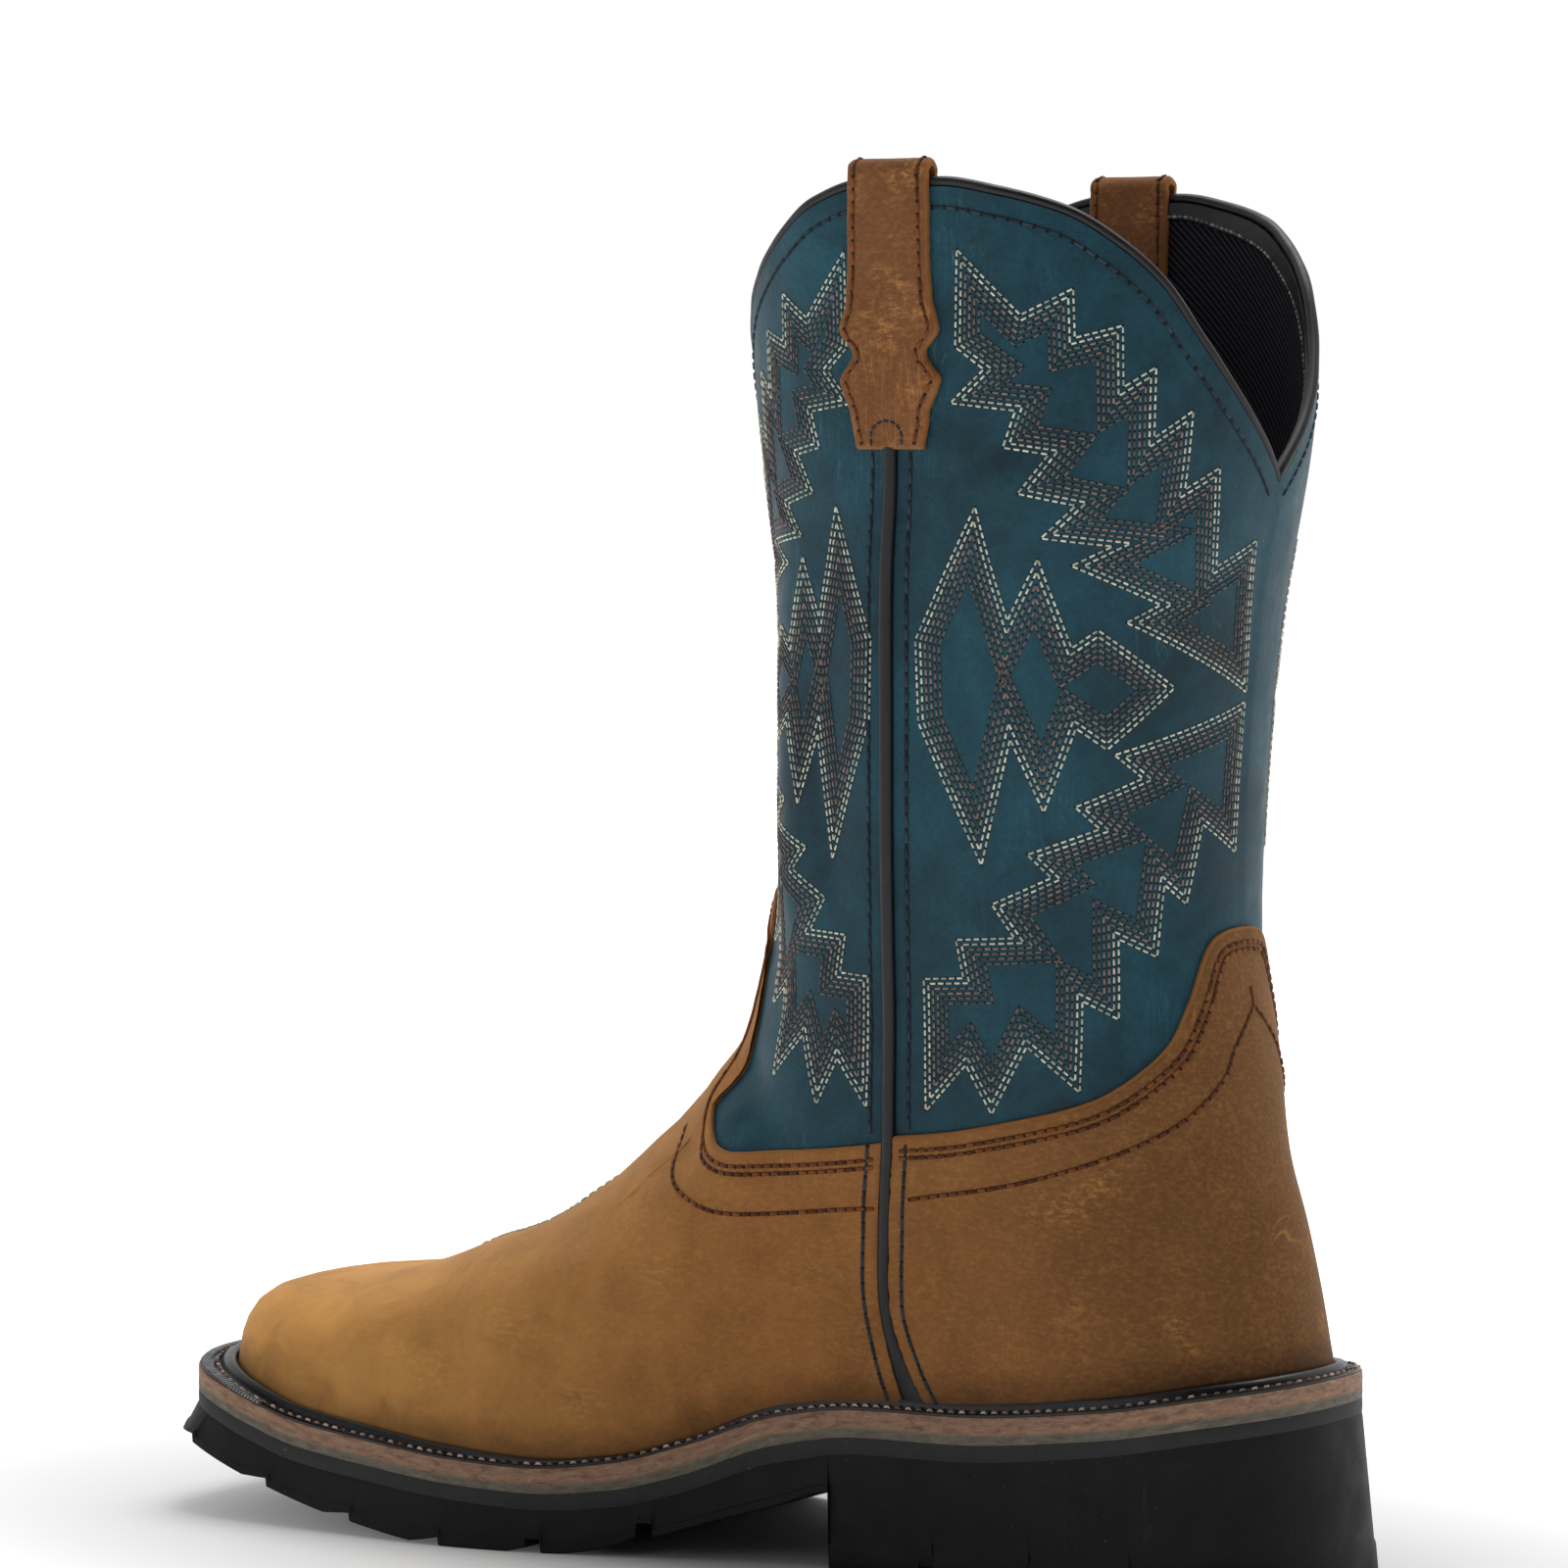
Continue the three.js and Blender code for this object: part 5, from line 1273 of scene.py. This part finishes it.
# Sewing: one thread shape repeated along guide lines that lie on the finished leather
def sewingTree():
    tree = bpy.data.node_groups.new("sewnRow", "GeometryNodeTree")
    inlets = {"Geometry": "Geometry", "Stitch": "Object", "Pitch": "Float", "Seed": "Int",
              "Thread": "Material"}
    for name, kind in inlets.items():
        inlet = tree.interface.new_socket(name, in_out="INPUT", socket_type="NodeSocket" + kind)
        inlets[name] = inlet.identifier
    tree.interface.new_socket("Geometry", in_out="OUTPUT", socket_type="NodeSocketGeometry")
    given = addNode(tree, "NodeGroupInput").outputs
    curve = addNode(tree, "GeometryNodeMeshToCurve", links={"Mesh": given["Geometry"]}).outputs[0]
    length = addNode(tree, "GeometryNodeSplineLength").outputs["Length"]

    # twice as many steps as stitches, so that every other point is the middle of a stitch
    fitting = addNode(tree, "ShaderNodeMath", {"operation": "DIVIDE"}, {0: length, 1: given["Pitch"]})
    whole = addNode(tree, "ShaderNodeMath", {"operation": "ROUND"}, {0: fitting})
    stitches = addNode(tree, "ShaderNodeMath", {"operation": "MAXIMUM", 1: 1.0}, {0: whole})
    count = addNode(tree, "ShaderNodeMath", {"operation": "MULTIPLY_ADD", 1: 2.0, 2: 1.0}, {0: stitches})
    even = addNode(tree, "GeometryNodeResampleCurve", {"mode": "COUNT"},
                   {"Curve": curve, "Count": count}).outputs[0]
    index = addNode(tree, "GeometryNodeSplineParameter").outputs["Index"]
    middle = addNode(tree, "ShaderNodeMath", {"operation": "MODULO", 1: 2.0}, {0: index})
    tangent = addNode(tree, "GeometryNodeInputTangent").outputs[0]
    up = addNode(tree, "GeometryNodeInputNamedAttribute", {"data_type": "FLOAT_VECTOR",
                                                           "Name": "up"}).outputs[0]
    along = addNode(tree, "FunctionNodeAlignRotationToVector", {"axis": "X"}, {"Vector": tangent}).outputs[0]
    facing = addNode(tree, "FunctionNodeAlignRotationToVector", {"axis": "Z", "pivot_axis": "X"},
                     {"Rotation": along, "Vector": up}).outputs[0]
    points = addNode(tree, "GeometryNodeSplineLength").outputs["Point Count"]
    made = addNode(tree, "ShaderNodeMath", {"operation": "MULTIPLY_ADD", 1: 0.5, 2: -0.5}, {0: points})
    spacing = addNode(tree, "ShaderNodeMath", {"operation": "DIVIDE"}, {0: length, 1: made})
    stretch = addNode(tree, "ShaderNodeMath", {"operation": "DIVIDE"}, {0: spacing, 1: given["Pitch"]})
    scale = addNode(tree, "ShaderNodeCombineXYZ", {"Y": 1.0, "Z": 1.0}, {"X": stretch}).outputs[0]
    shape = addNode(tree, "GeometryNodeObjectInfo", links={"Object": given["Stitch"]}).outputs["Geometry"]
    placed = addNode(tree, "GeometryNodeInstanceOnPoints", links={
        "Points": even, "Selection": middle, "Instance": shape, "Rotation": facing,
        "Scale": scale}).outputs[0]
    shade = addNode(tree, "FunctionNodeRandomValue", {"data_type": "FLOAT"},
                    {"Seed": given["Seed"]}).outputs[1]
    toned = addNode(tree, "GeometryNodeStoreNamedAttribute", {"data_type": "FLOAT", "domain": "INSTANCE",
                                                              "Name": "tone"},
                    {"Geometry": placed, "Value": shade}).outputs[0]
    real = addNode(tree, "GeometryNodeRealizeInstances", links={"Geometry": toned}).outputs[0]
    dyed = addNode(tree, "GeometryNodeSetMaterial", links={"Geometry": real,
                                                           "Material": given["Thread"]}).outputs[0]
    addNode(tree, "NodeGroupOutput", links={"Geometry": dyed})
    return tree, inlets


sewnRow, sewnInlets = sewingTree()


def stitchShape(length, wide, high, hole, reach=0.45, sides=5):  # from one needle hole to the next, mm
    rings = [(-reach, 0.45, -0.25), (-0.58 * reach, 1, 0.32), (0.58 * reach, 1, 0.32), (reach, 0.45, -0.25)]
    angle = np.linspace(0, 2 * np.pi, sides, endpoint=False) + np.pi / 2
    points = [(t * length, np.cos(a) * wide / 2 * r, high * (lift + np.sin(a) * 0.5 * r))
              for t, r, lift in rings for a in angle]
    faces = [list(f) for f in gridQuads(len(rings), sides, False, True)]
    faces += [list(range(sides)), list(range(len(points) - 1, len(points) - 1 - sides, -1))]
    dark = [0.0] * len(points)
    # dark disc at the needle hole, painted shade
    if hole:
        start = len(points)
        disc = np.linspace(0, 2 * np.pi, 6, endpoint=False)
        points += [(np.cos(a) * hole / 2 - length / 2, np.sin(a) * hole / 2, 0.06) for a in disc]
        faces.append(list(range(start, start + 6)))
        dark += [1.0] * 6
    mesh = bpy.data.meshes.new("stitchShape")
    mesh.from_pydata((np.array(points) / 1000).tolist(), [], [list(map(int, f)) for f in faces])
    mesh.attributes.new("hole", "FLOAT", "POINT").data.foreach_set("value", dark)
    mesh.update()
    mesh.shade_smooth()
    thread = addObject("stitchShape", mesh)
    faceOutwards(thread)
    return thread


def sew(name, look, runs, pitch, shape, seed, slot=None):  # runs: lists of (points, up), mm
    points = np.concatenate([p for p, _ in runs])
    ups = np.concatenate([u for _, u in runs])
    edges, start = [], 0
    for p, _ in runs:
        edges += [(start + i, start + i + 1) for i in range(len(p) - 1)]
        start += len(p)
    mesh = bpy.data.meshes.new(name + "Guide")
    mesh.from_pydata((points / 1000).tolist(), edges, [])
    directions = mesh.attributes.new("up", "FLOAT_VECTOR", "POINT").data
    directions.foreach_set("vector", ups.astype(np.float32).ravel())
    guide = addObject(name + "Guide", mesh)
    modifier = guide.modifiers.new("sewn", "NODES")
    modifier.node_group = sewnRow
    for key, value in (("Stitch", shape), ("Pitch", pitch / 1000), ("Seed", seed), ("Thread", look)):
        modifier[sewnInlets[key]] = value
    bpy.context.view_layer.update()
    ready = guide.evaluated_get(bpy.context.evaluated_depsgraph_get())
    made = bpy.data.meshes.new_from_object(ready)
    bpy.data.objects.remove(guide)
    made.name = name
    print(name, len(made.polygons), "faces")
    settle(addObject(name, made), slot)


def stitch(name, look, runs, seed, pitch, *sizes):  # rows sewn in a thread shape made for them
    thread = stitchShape(pitch, *sizes)
    sew(name, look, runs, pitch, thread, seed)
    bpy.data.objects.remove(thread)


def skinOf(*names):  # surface that stitches are laid on
    points, faces = [], []
    for name in names:
        mesh = bpy.data.objects[name].data
        start = len(points)
        points += [v.co * 1000 for v in mesh.vertices]
        faces += [[start + i for i in p.vertices] for p in mesh.polygons]
    return BVHTree.FromPolygons(points, faces)


def laid(skin, points, ups, reach=7):  # points moved along their normals on to the surface
    hits, faces = [], []
    for p, n in zip(points, ups):
        place, normal, _, _ = skin.ray_cast(Vector(p + n * reach), Vector(-n), 2 * reach)
        if place is None:
            place, normal = Vector(p), Vector(n)
        hits.append(place)
        faces.append(normal if normal.dot(Vector(n)) > 0 else -normal)
    faces = np.array(faces)
    smooth = faces.copy()
    smooth[1:-1] = faces[:-2] + faces[1:-1] + faces[2:]
    return np.array(hits), unit(smooth)


def onSide(x, z, side):  # guide points on the bare leather, with normals
    down, turn = sideParam(x, z)
    return shell(down, turn, side), normalAt(down, turn, side)


def runOn(skin, path, side, step=0.8):
    path = evenly(path, step=step)
    return laid(skin, *onSide(path[:, 0], path[:, 1], side))


# Flat chart of the shaft: mm round from the side seam (minus to the toe) and height
chartTurns = np.linspace(0, 1, 181)
chartHeights = np.linspace(100, float(levelZ(2)), 130)


def makeChart():
    z, turn = np.meshgrid(chartHeights, chartTurns, indexing="ij")
    down = downWhere(lambda middle: bare(middle, turn, 1)[..., 2] > z, z.shape, 0.75)
    ring = bare(down, turn, 1)
    steps = np.linalg.norm(np.diff(ring, axis=1), axis=2)
    arc = np.concatenate([np.zeros((len(z), 1)), np.cumsum(steps, axis=1)], 1)
    seam = [np.interp(-seamX(h), -row, a) for h, row, a in zip(chartHeights, ring[..., 0], arc)]
    return down, arc - np.array(seam)[:, None]


chartDown, chartArc = makeChart()


def fromChart(a, z):
    place = np.interp(z, chartHeights, np.arange(len(chartHeights)))
    down, turn = np.zeros(len(a)), np.zeros(len(a))
    for k, (arc, p) in enumerate(zip(a, place)):
        i = min(int(p), len(chartHeights) - 2)
        f = p - i
        turns = [np.interp(arc, chartArc[j], chartTurns) for j in (i, i + 1)]
        turn[k] = turns[0] * (1 - f) + turns[1] * f
        downs = [np.interp(turn[k], chartTurns, chartDown[j]) for j in (i, i + 1)]
        down[k] = downs[0] * (1 - f) + downs[1] * f
    return down, turn


def chartRun(skin, path, side, step=0.8):
    path = evenly(path, step=step) if step else np.asarray(path, float)
    down, turn = fromChart(path[:, 0], path[:, 1])
    return laid(skin, shell(down, turn, side), normalAt(down, turn, side), 4)


# Embroidery: zigzag outlines, each followed inwards by close parallel rows
motif = {"rows": 6, "gap": 1.14, "pitch": 1.95, "margin": 1.2,
         "front": (0.8, 1.6), "back": {1: (1, 0), -1: (0.8, 0)}}
motifLoops = [
    [(17.3, 303.5), (32.2, 288.8), (43.9, 294.6), (44.3, 283.7), (55, 286.4), (55.1, 272.8), (62.6, 277.2),
     (62, 261.6), (71.5, 267.6), (69.6, 250.1), (78.8, 254.9), (79.7, 232.7), (93.4, 238.5), (93.6, 203.8),
     (56.2, 220.4), (64.5, 224.3), (43.8, 233.2), (52.9, 237.5), (36.9, 239.3), (44.3, 246.6), (31.4, 249.2),
     (38.2, 257.9), (28, 259.4), (31, 267.6), (15.5, 269.3), (23.8, 276.8), (16.8, 281.8)],
    [(21.6, 246.2), (29.6, 220.8), (36.4, 234.7), (43.8, 214.8), (49.7, 218.8), (68.2, 205.6), (51.6, 191.9),
     (44.6, 196.8), (37.4, 177.8), (30, 194.3), (23.1, 165.6), (7.8, 197.6), (7.1, 216.2)],
    [(93.5, 201.8), (88.3, 167.4), (76.3, 174.4), (71.3, 156.4), (65.5, 161), (63.4, 144.7), (54.2, 148.9),
     (54.2, 130.7), (45.8, 135), (46, 114.2), (33.6, 124.6), (26, 108.8), (19.5, 120), (9.4, 108.8),
     (8.8, 139.4), (18.7, 139.9), (16.9, 148.6), (30.6, 149.3), (25.5, 156.8), (39, 163), (33.6, 168.2),
     (50, 174), (44.4, 179), (60.1, 185.3), (53.3, 190.7)],
]


def insetRows(loop, rows, gap):  # parallel rows inside a loop, cut where they would run into it
    loop = np.array(loop, float)
    ahead = np.roll(loop, -1, axis=0)
    if ((ahead[:, 0] - loop[:, 0]) * (ahead[:, 1] + loop[:, 1])).sum() > 0:
        loop = loop[::-1]
        ahead = np.roll(loop, -1, axis=0)
    way = unit(ahead - loop)
    inward = np.stack([-way[:, 1], way[:, 0]], 1)
    result = []
    for k in range(rows):
        runs = []
        for i in range(len(loop)):
            ends = []
            for j in (i - 1, (i + 1) % len(loop)):
                corner = loop[i] if j == i - 1 else ahead[i]
                slide = ((inward[j] - inward[i]) @ inward[j]) / (way[i] @ inward[j] + 1e-12)
                ends.append(((corner - loop[i]) @ way[i]) + k * gap * slide)
            count = max(2, int((ends[1] - ends[0]) / 0.25) + 1)
            if ends[1] - ends[0] < 1.0:
                continue
            t = np.linspace(*ends, count)
            line = loop[i] + inward[i] * k * gap + way[i] * t[:, None]
            reach = line[:, None] - loop[None]
            span = ahead - loop
            f = np.clip((reach * span).sum(2) / (span ** 2).sum(1), 0, 1)
            near = np.linalg.norm(reach - span * f[..., None], axis=2).min(1)
            keep = near >= 0.93 * k * gap - 1e-9
            edges = np.flatnonzero(np.diff(np.concatenate([[0], keep.astype(int), [0]])))
            for a, b in zip(edges[::2], edges[1::2]):
                if (b - a) * 0.25 > 1.1:
                    runs.append(np.array([line[a], line[b - 1]]))
        result.append(runs)
    return result


def embroider():
    skin = skinOf("shaft")
    dyed = {"cream": [], "rose": [], "slate": []}
    for side in (1, -1):
        for away in (1, -1):
            for loop in motifLoops:
                fitted = []
                for a, z in loop:
                    row = chartArc[np.abs(chartHeights - z).argmin()]
                    limit = (row[-1] if away > 0 else -row[0]) - motif["margin"]
                    scale, shift = motif["front"] if away < 0 else motif["back"][side]
                    fitted.append((min(a * scale - shift, limit), z))
                for k, runs in enumerate(insetRows(fitted, motif["rows"], motif["gap"])):
                    for run in runs:
                        path = np.array(run) * [away, 1]
                        dyed[("cream", "rose", "slate")[k // 2]].append(chartRun(skin, path, side, 1.1))
    for seed, (colour, runs) in enumerate(dyed.items()):
        stitch("embroidery_" + colour, looks[colour], runs, seed + 3, motif["pitch"], 0.5, 0.42, 0.66, 0.4)


embroider()
print("embroidery sewn")


# Seam stitching
seams = {
    "collar": 4.6, "collarPitch": 3.1, "side": 4.9, "sidePitch": 3.5, "edge": 3.5, "second": 5.25,
    "edgePitch": 2.5, "strap": 2.0, "strapPitch": 2.9,
}


def collarRuns(skin):
    runs = []
    for side in (1, -1):
        turn = evenTurns(0.0, 220)
        drop = toplineDrop(turn)
        edge = bare(drop, turn, 1)
        arc = []
        for d, t, z in zip(drop, turn, edge[:, 2]):
            i = np.abs(chartHeights - z).argmin()
            arc.append(np.interp(t, chartTurns, chartArc[i]))
        line = np.stack([arc, edge[:, 2]], 1)
        way = unit(np.gradient(line, axis=0))
        row = line + np.stack([way[:, 1], -way[:, 0]], 1) * seams["collar"]
        inside = []
        for a, z in row:
            limits = chartArc[np.abs(chartHeights - z).argmin()]
            inside.append(limits[0] < a < limits[-1])
        row = row[np.array(inside)]
        runs.append(chartRun(skin, evenly(row, step=0.9), side, None))
    return runs


def rimRuns(grid, gap, skin):  # a row a given distance inside a cut edge
    down, turn, rims = grid
    runs = []
    for side, rim in ((1, rims[0]), (-1, rims[1])):
        columns = range(down.shape[1])
        d = np.array([np.interp(gap, rim[:12, c], down[:12, c]) for c in columns])
        t = np.array([np.interp(gap, rim[:12, c], turn[:12, c]) for c in columns])
        path = evenly(np.concatenate([bare(d, t, 1), d[:, None], t[:, None]], 1), step=0.8)
        path = path[:-2]  # stops 1.6 mm short of the seam
        runs.append(laid(skin, shell(path[:, 3], path[:, 4], side), normalAt(path[:, 3], path[:, 4], side)))
    return runs


thirdRow = [
    [(123.2, 99.2), (121.4, 91.3), (116.9, 86.2), (108.7, 82.9), (99.8, 82), (86.7, 83.1), (70, 85),
     (62.5, 85.5)],
    [(53.6, 88.2), (28.8, 92.7), (10.9, 98), (-0.5, 103.2), (-7.5, 108.6), (-11.5, 115.6), (-12.2, 123.2),
     (-12.1, 129.1), (-10.9, 137)],
]


def sewSeams():
    shaftSkin, whole = skinOf("shaft"), skinOf("shaft", "vamp_leather", "counter_leather")
    tan = skinOf("vamp_leather", "counter_leather")
    sideRuns, edgeRuns = [], []
    for side in (1, -1):
        for away in (1, -1):
            z = np.linspace(float(levelZ(2)) - strap["drop"] - 1, seamFoot + 2.2, 300)
            flare = wedgeAt(z) * (0.25 if away > 0 else 0.75)
            path = np.stack([seamX(z) + away * (seams["side"] + flare), z], 1)
            cut = float(levelZ(overlay["edgeAtSeam"][0 if away > 0 else 1]))
            for part in (path[z > cut + 0.9], path[z < cut - 0.7]):
                sideRuns.append(runOn(whole, part, side))
        for row in thirdRow:
            edgeRuns.append(runOn(tan, curveThrough(row, 200), side))
    for grid in (vampGrid, counterGrid):
        for gap in (seams["edge"], seams["second"]):
            edgeRuns += rimRuns(grid, gap, tan)
    stitch("collar_stitches", looks["navy"], collarRuns(shaftSkin), 11, seams["collarPitch"], 0.7, 0.5, 1.25)
    stitch("side_stitches", looks["navy"], sideRuns, 12, seams["sidePitch"], 0.85, 0.65, 1.2)
    stitch("edge_stitches", looks["brown"], edgeRuns, 13, seams["edgePitch"], 1.0, 0.65, 1.15)
    # the binding's inner edge, caught down to the lining
    drop, turn, ringSide = toplineRing()
    depth = (binding["tail"] - 0.7) / shaftFall
    row = shell(drop + depth, turn, ringSide, -last["wall"] - binding["tailThick"])
    ups = -normalAt(drop, turn, ringSide)
    ring = [(np.concatenate([row, row[:1]]), np.concatenate([ups, ups[:1]]))]
    stitch("binding_stitches", looks["ash"], ring, 17, 1.6, 0.75, 0.45, 0)
    # a stepped diamond in pale thread on top of the vamp, twice round, dropped on to it from above
    diamonds = []
    for side in (1, -1):
        for shift in (0, 2.4):
            corners = [(200 - shift, 0.3), (193, 10.5 - shift), (187, 9), (179, 14.5 - shift), (172, 11),
                       (162, 16 - shift), (150 + shift, 0.3)]
            line = evenly(corners, step=0.8)
            guide = np.stack([line[:, 0], side * line[:, 1], np.full(len(line), 130.0)], 1)
            diamonds.append(laid(tan, guide, np.tile([0.0, 0.0, 1.0], (len(guide), 1)), 90))
    stitch("vamp_stitches", looks["cream"], diamonds, 16, 2.4, 0.6, 0.5, 0.7)


sewSeams()


def sewStraps():
    rows, arches = [], []
    for side, (face, edge) in strapGrids.items():
        count, across = edge.shape
        normal = unit(np.cross(np.gradient(face, axis=0), np.gradient(face, axis=1)))
        if (normal[:, across // 2, 1] * side)[:60].mean() < 0:
            normal = -normal
        u = np.sin(np.linspace(-np.pi / 2, np.pi / 2, across))
        half = edge[:, across // 2]
        for way in (1, -1):
            at = way * (1 - seams["strap"] / half)
            picked = [np.array([[np.interp(at[r], u, grid[r, :, k]) for k in range(3)] for r in range(2,
                count - 3)])
                      for grid in (face, normal)]
            rows.append((picked[0], unit(picked[1])))
        # the navy arch that holds the strap's end to the seam
        skin = BVHTree.FromPolygons([Vector(p) for p in face.reshape(-1, 3)],
                                    gridQuads(count, across).tolist())
        t = np.linspace(0, np.pi, 30)
        bottom = float(levelZ(2)) - strap["drop"]
        wide, low = 3.9, bottom + 0.8
        arch = np.stack([wide * np.cos(t), bottom + 3 + 3.4 * np.sin(t)], 1)
        path = evenly(np.concatenate([[(wide, low)], arch, [(-wide, low)]]), step=0.7)
        points, ups = onSide(seamX(path[:, 1]) + path[:, 0], path[:, 1], side)
        arches.append(laid(skin, points, ups))
    stitch("strap_stitches", looks["brown"], rows, 14, seams["strapPitch"], 0.85, 0.55, 1.05)
    stitch("strap_anchor_stitches", looks["navy"], arches, 15, 1.8, 0.6, 0.5, 0)


sewStraps()


# Welt seam in the groove, and the ribs moulded across the strip
def sewWelt():
    turn, _, foot, across, _, _ = weltFrame()

    def line(share, height):
        flat = foot + across * (weltWide + share * weltRest)[:, None]
        ring = np.concatenate([flat, (soleTop(flat[:, 0]) + height)[:, None]], 1)
        return np.concatenate([ring, ring[:1]])
    up = np.concatenate([across * 0.45, np.full((len(turn), 1), 0.9)], 1)
    up = unit(np.concatenate([up, up[:1]]))
    # in the groove at the toe, and out by the edge along the narrow sides
    toeward = np.clip((foot[:, 0] - 222) / 22, 0, 1)
    seam = line(0.62 - 0.36 * toeward, welt["groove"] + 0.75 - 0.2 * toeward)
    stitch("welt_stitches", looks["blush"], [(seam, up)], 21, 2.9, 0.8, 0.65, 1.2, 0.27)

    # the ribs stand round the toe alone, each a low bar across the strip
    ring = np.roll(line(0.735, welt["strip"] - 0.05)[:-1], len(turn) // 2, axis=0)
    ring = ring[ring[:, 0] > 228]
    profile = [(-0.3, 0.0), (-0.14, 0.6), (0.14, 0.6), (0.3, 0.0)]
    half = float(weltRest[foot[:, 0] > 240].mean()) * 0.25
    points = [(x, y * half, z) for x, z in profile for y in (-0.94, 0.94)]
    faces = [(0, 1, 3, 2), (2, 3, 5, 4), (4, 5, 7, 6), (0, 2, 4, 6), (7, 5, 3, 1), (1, 0, 6, 7)]
    mesh = bpy.data.meshes.new("ribShape")
    mesh.from_pydata((np.array(points) / 1000).tolist(), [], faces)
    rib = addObject("ribShape", mesh)
    faceOutwards(rib)
    sew("welt_ribs", looks["rib"], [(ring, np.tile([0.0, 0.0, 1.0], (len(ring), 1)))], 1.05, rib, 22,
        "welt_rubber")
    bpy.data.objects.remove(rib)


sewWelt()
print("stitching sewn")

# Stage: pale sweep, soft light, and the camera at the photograph's angle
stage = {"yaw": 32, "elevation": 3, "distance": 1500, "focal": 6430, "target": (113, 0, 179.5)}


def buildStage():
    floorMaterial, tree, shader, place = newMaterial("paperSweepWhite", Roughness=0.9)
    shader.inputs["Base Color"].default_value = srgb("#c4c4c4")
    shader.inputs["Emission Color"].default_value = (1, 1, 1, 1)
    # painted light: the paper glows, so its far part stays white; the light it gives fades to nothing near
    # and under the boot, a painted contact shadow
    centred = addNode(tree, "ShaderNodeMapping", {"Location": (-0.07, 0, 0), "Scale": (0.62, 1, 1)},
                      {"Vector": place})
    reach = addNode(tree, "ShaderNodeVectorMath", {"operation": "LENGTH"}, {0: centred})
    paintedGlow = addNode(tree, "ShaderNodeValToRGB", {"stops": [(0.045, 0.0), (0.13, 0.32), (0.2, 0.66),
                                                          (0.35, 1.0)]}, {"Fac": reach})
    tree.links.new(socketOf(paintedGlow), shader.inputs["Emission Strength"])
    mesh = bpy.data.meshes.new("floor")
    mesh.from_pydata([(-4, -4, 0), (4, -4, 0), (4, 4, 0), (-4, 4, 0)], [], [(0, 1, 2, 3)])
    mesh.materials.append(floorMaterial)
    floor = addObject("floor", mesh)

    world = bpy.data.worlds.new("studio")
    world.use_nodes = True
    tree = world.node_tree
    way = addNode(tree, "ShaderNodeTexCoord").outputs["Generated"]
    facing = addNode(tree, "ShaderNodeVectorMath", {"operation": "DOT_PRODUCT", 1: (0.47, -0.72, 0.51)},
                     {0: way})
    share = addNode(tree, "ShaderNodeMapRange", {"From Min": -1, "From Max": 1}, {"Value": facing})
    sweep = addNode(tree, "ShaderNodeValToRGB", {"stops": [(0.0, 0.04), (0.42, 0.06), (0.66, 0.4),
                                                           (0.8, 1.0)]}, {"Fac": share})
    parts = addNode(tree, "ShaderNodeSeparateXYZ", links={"Vector": way})
    settings = {"From Min": 0.1, "From Max": 0.22, "To Min": 0.6, "To Max": 0}
    skyline = addNode(tree, "ShaderNodeMapRange", settings, {"Value": parts.outputs["Z"]})
    colour = addNode(tree, "ShaderNodeMix", {"data_type": "RGBA", "blend_type": "LIGHTEN", 0: 1.0},
                     {6: sweep, 7: skyline})
    tree.links.new(socketOf(colour), tree.nodes["Background"].inputs["Color"])
    tree.nodes["Background"].inputs["Strength"].default_value = 1.05
    bpy.context.scene.world = world

    def light(name, position, aim, size, power):
        data = bpy.data.lights.new(name, "AREA")
        data.shape, data.size, data.size_y, data.energy = "RECTANGLE", size[0], size[1], power
        lamp = addObject(name, data)
        lamp.location = position
        lamp.rotation_euler = (Vector(aim) - Vector(position)).to_track_quat("-Z", "Y").to_euler()

    light("keyLight", (0.1, -0.35, 1.4), (0.12, 0, 0.1), (0.9, 0.9), 11)
    light("fillLight", (0.5, 1.6, 0.8), (0.1, 0, 0.15), (0.9, 0.9), 2.6)
    light("rimLight", (-0.9, -0.6, 0.7), (0.0, 0, 0.2), (0.6, 1.0), 1.3)

    a, e = math.radians(stage["yaw"]), math.radians(stage["elevation"])
    back = Vector((-math.sin(a) * math.cos(e), math.cos(a) * math.cos(e), math.sin(e)))
    data = bpy.data.cameras.new("camera")
    data.sensor_width = 36
    data.lens = 36 * stage["focal"] / 1600
    camera = addObject("camera", data)
    target = Vector(stage["target"]) / 1000
    camera.location = target + back * stage["distance"] / 1000
    camera.rotation_euler = (-back).to_track_quat("-Z", "Y").to_euler()
    bpy.context.scene.camera = camera
    bpy.context.scene.view_settings.view_transform = "Standard"
    bpy.context.scene.view_settings.look = "None"


buildStage()
print("stage and camera set")
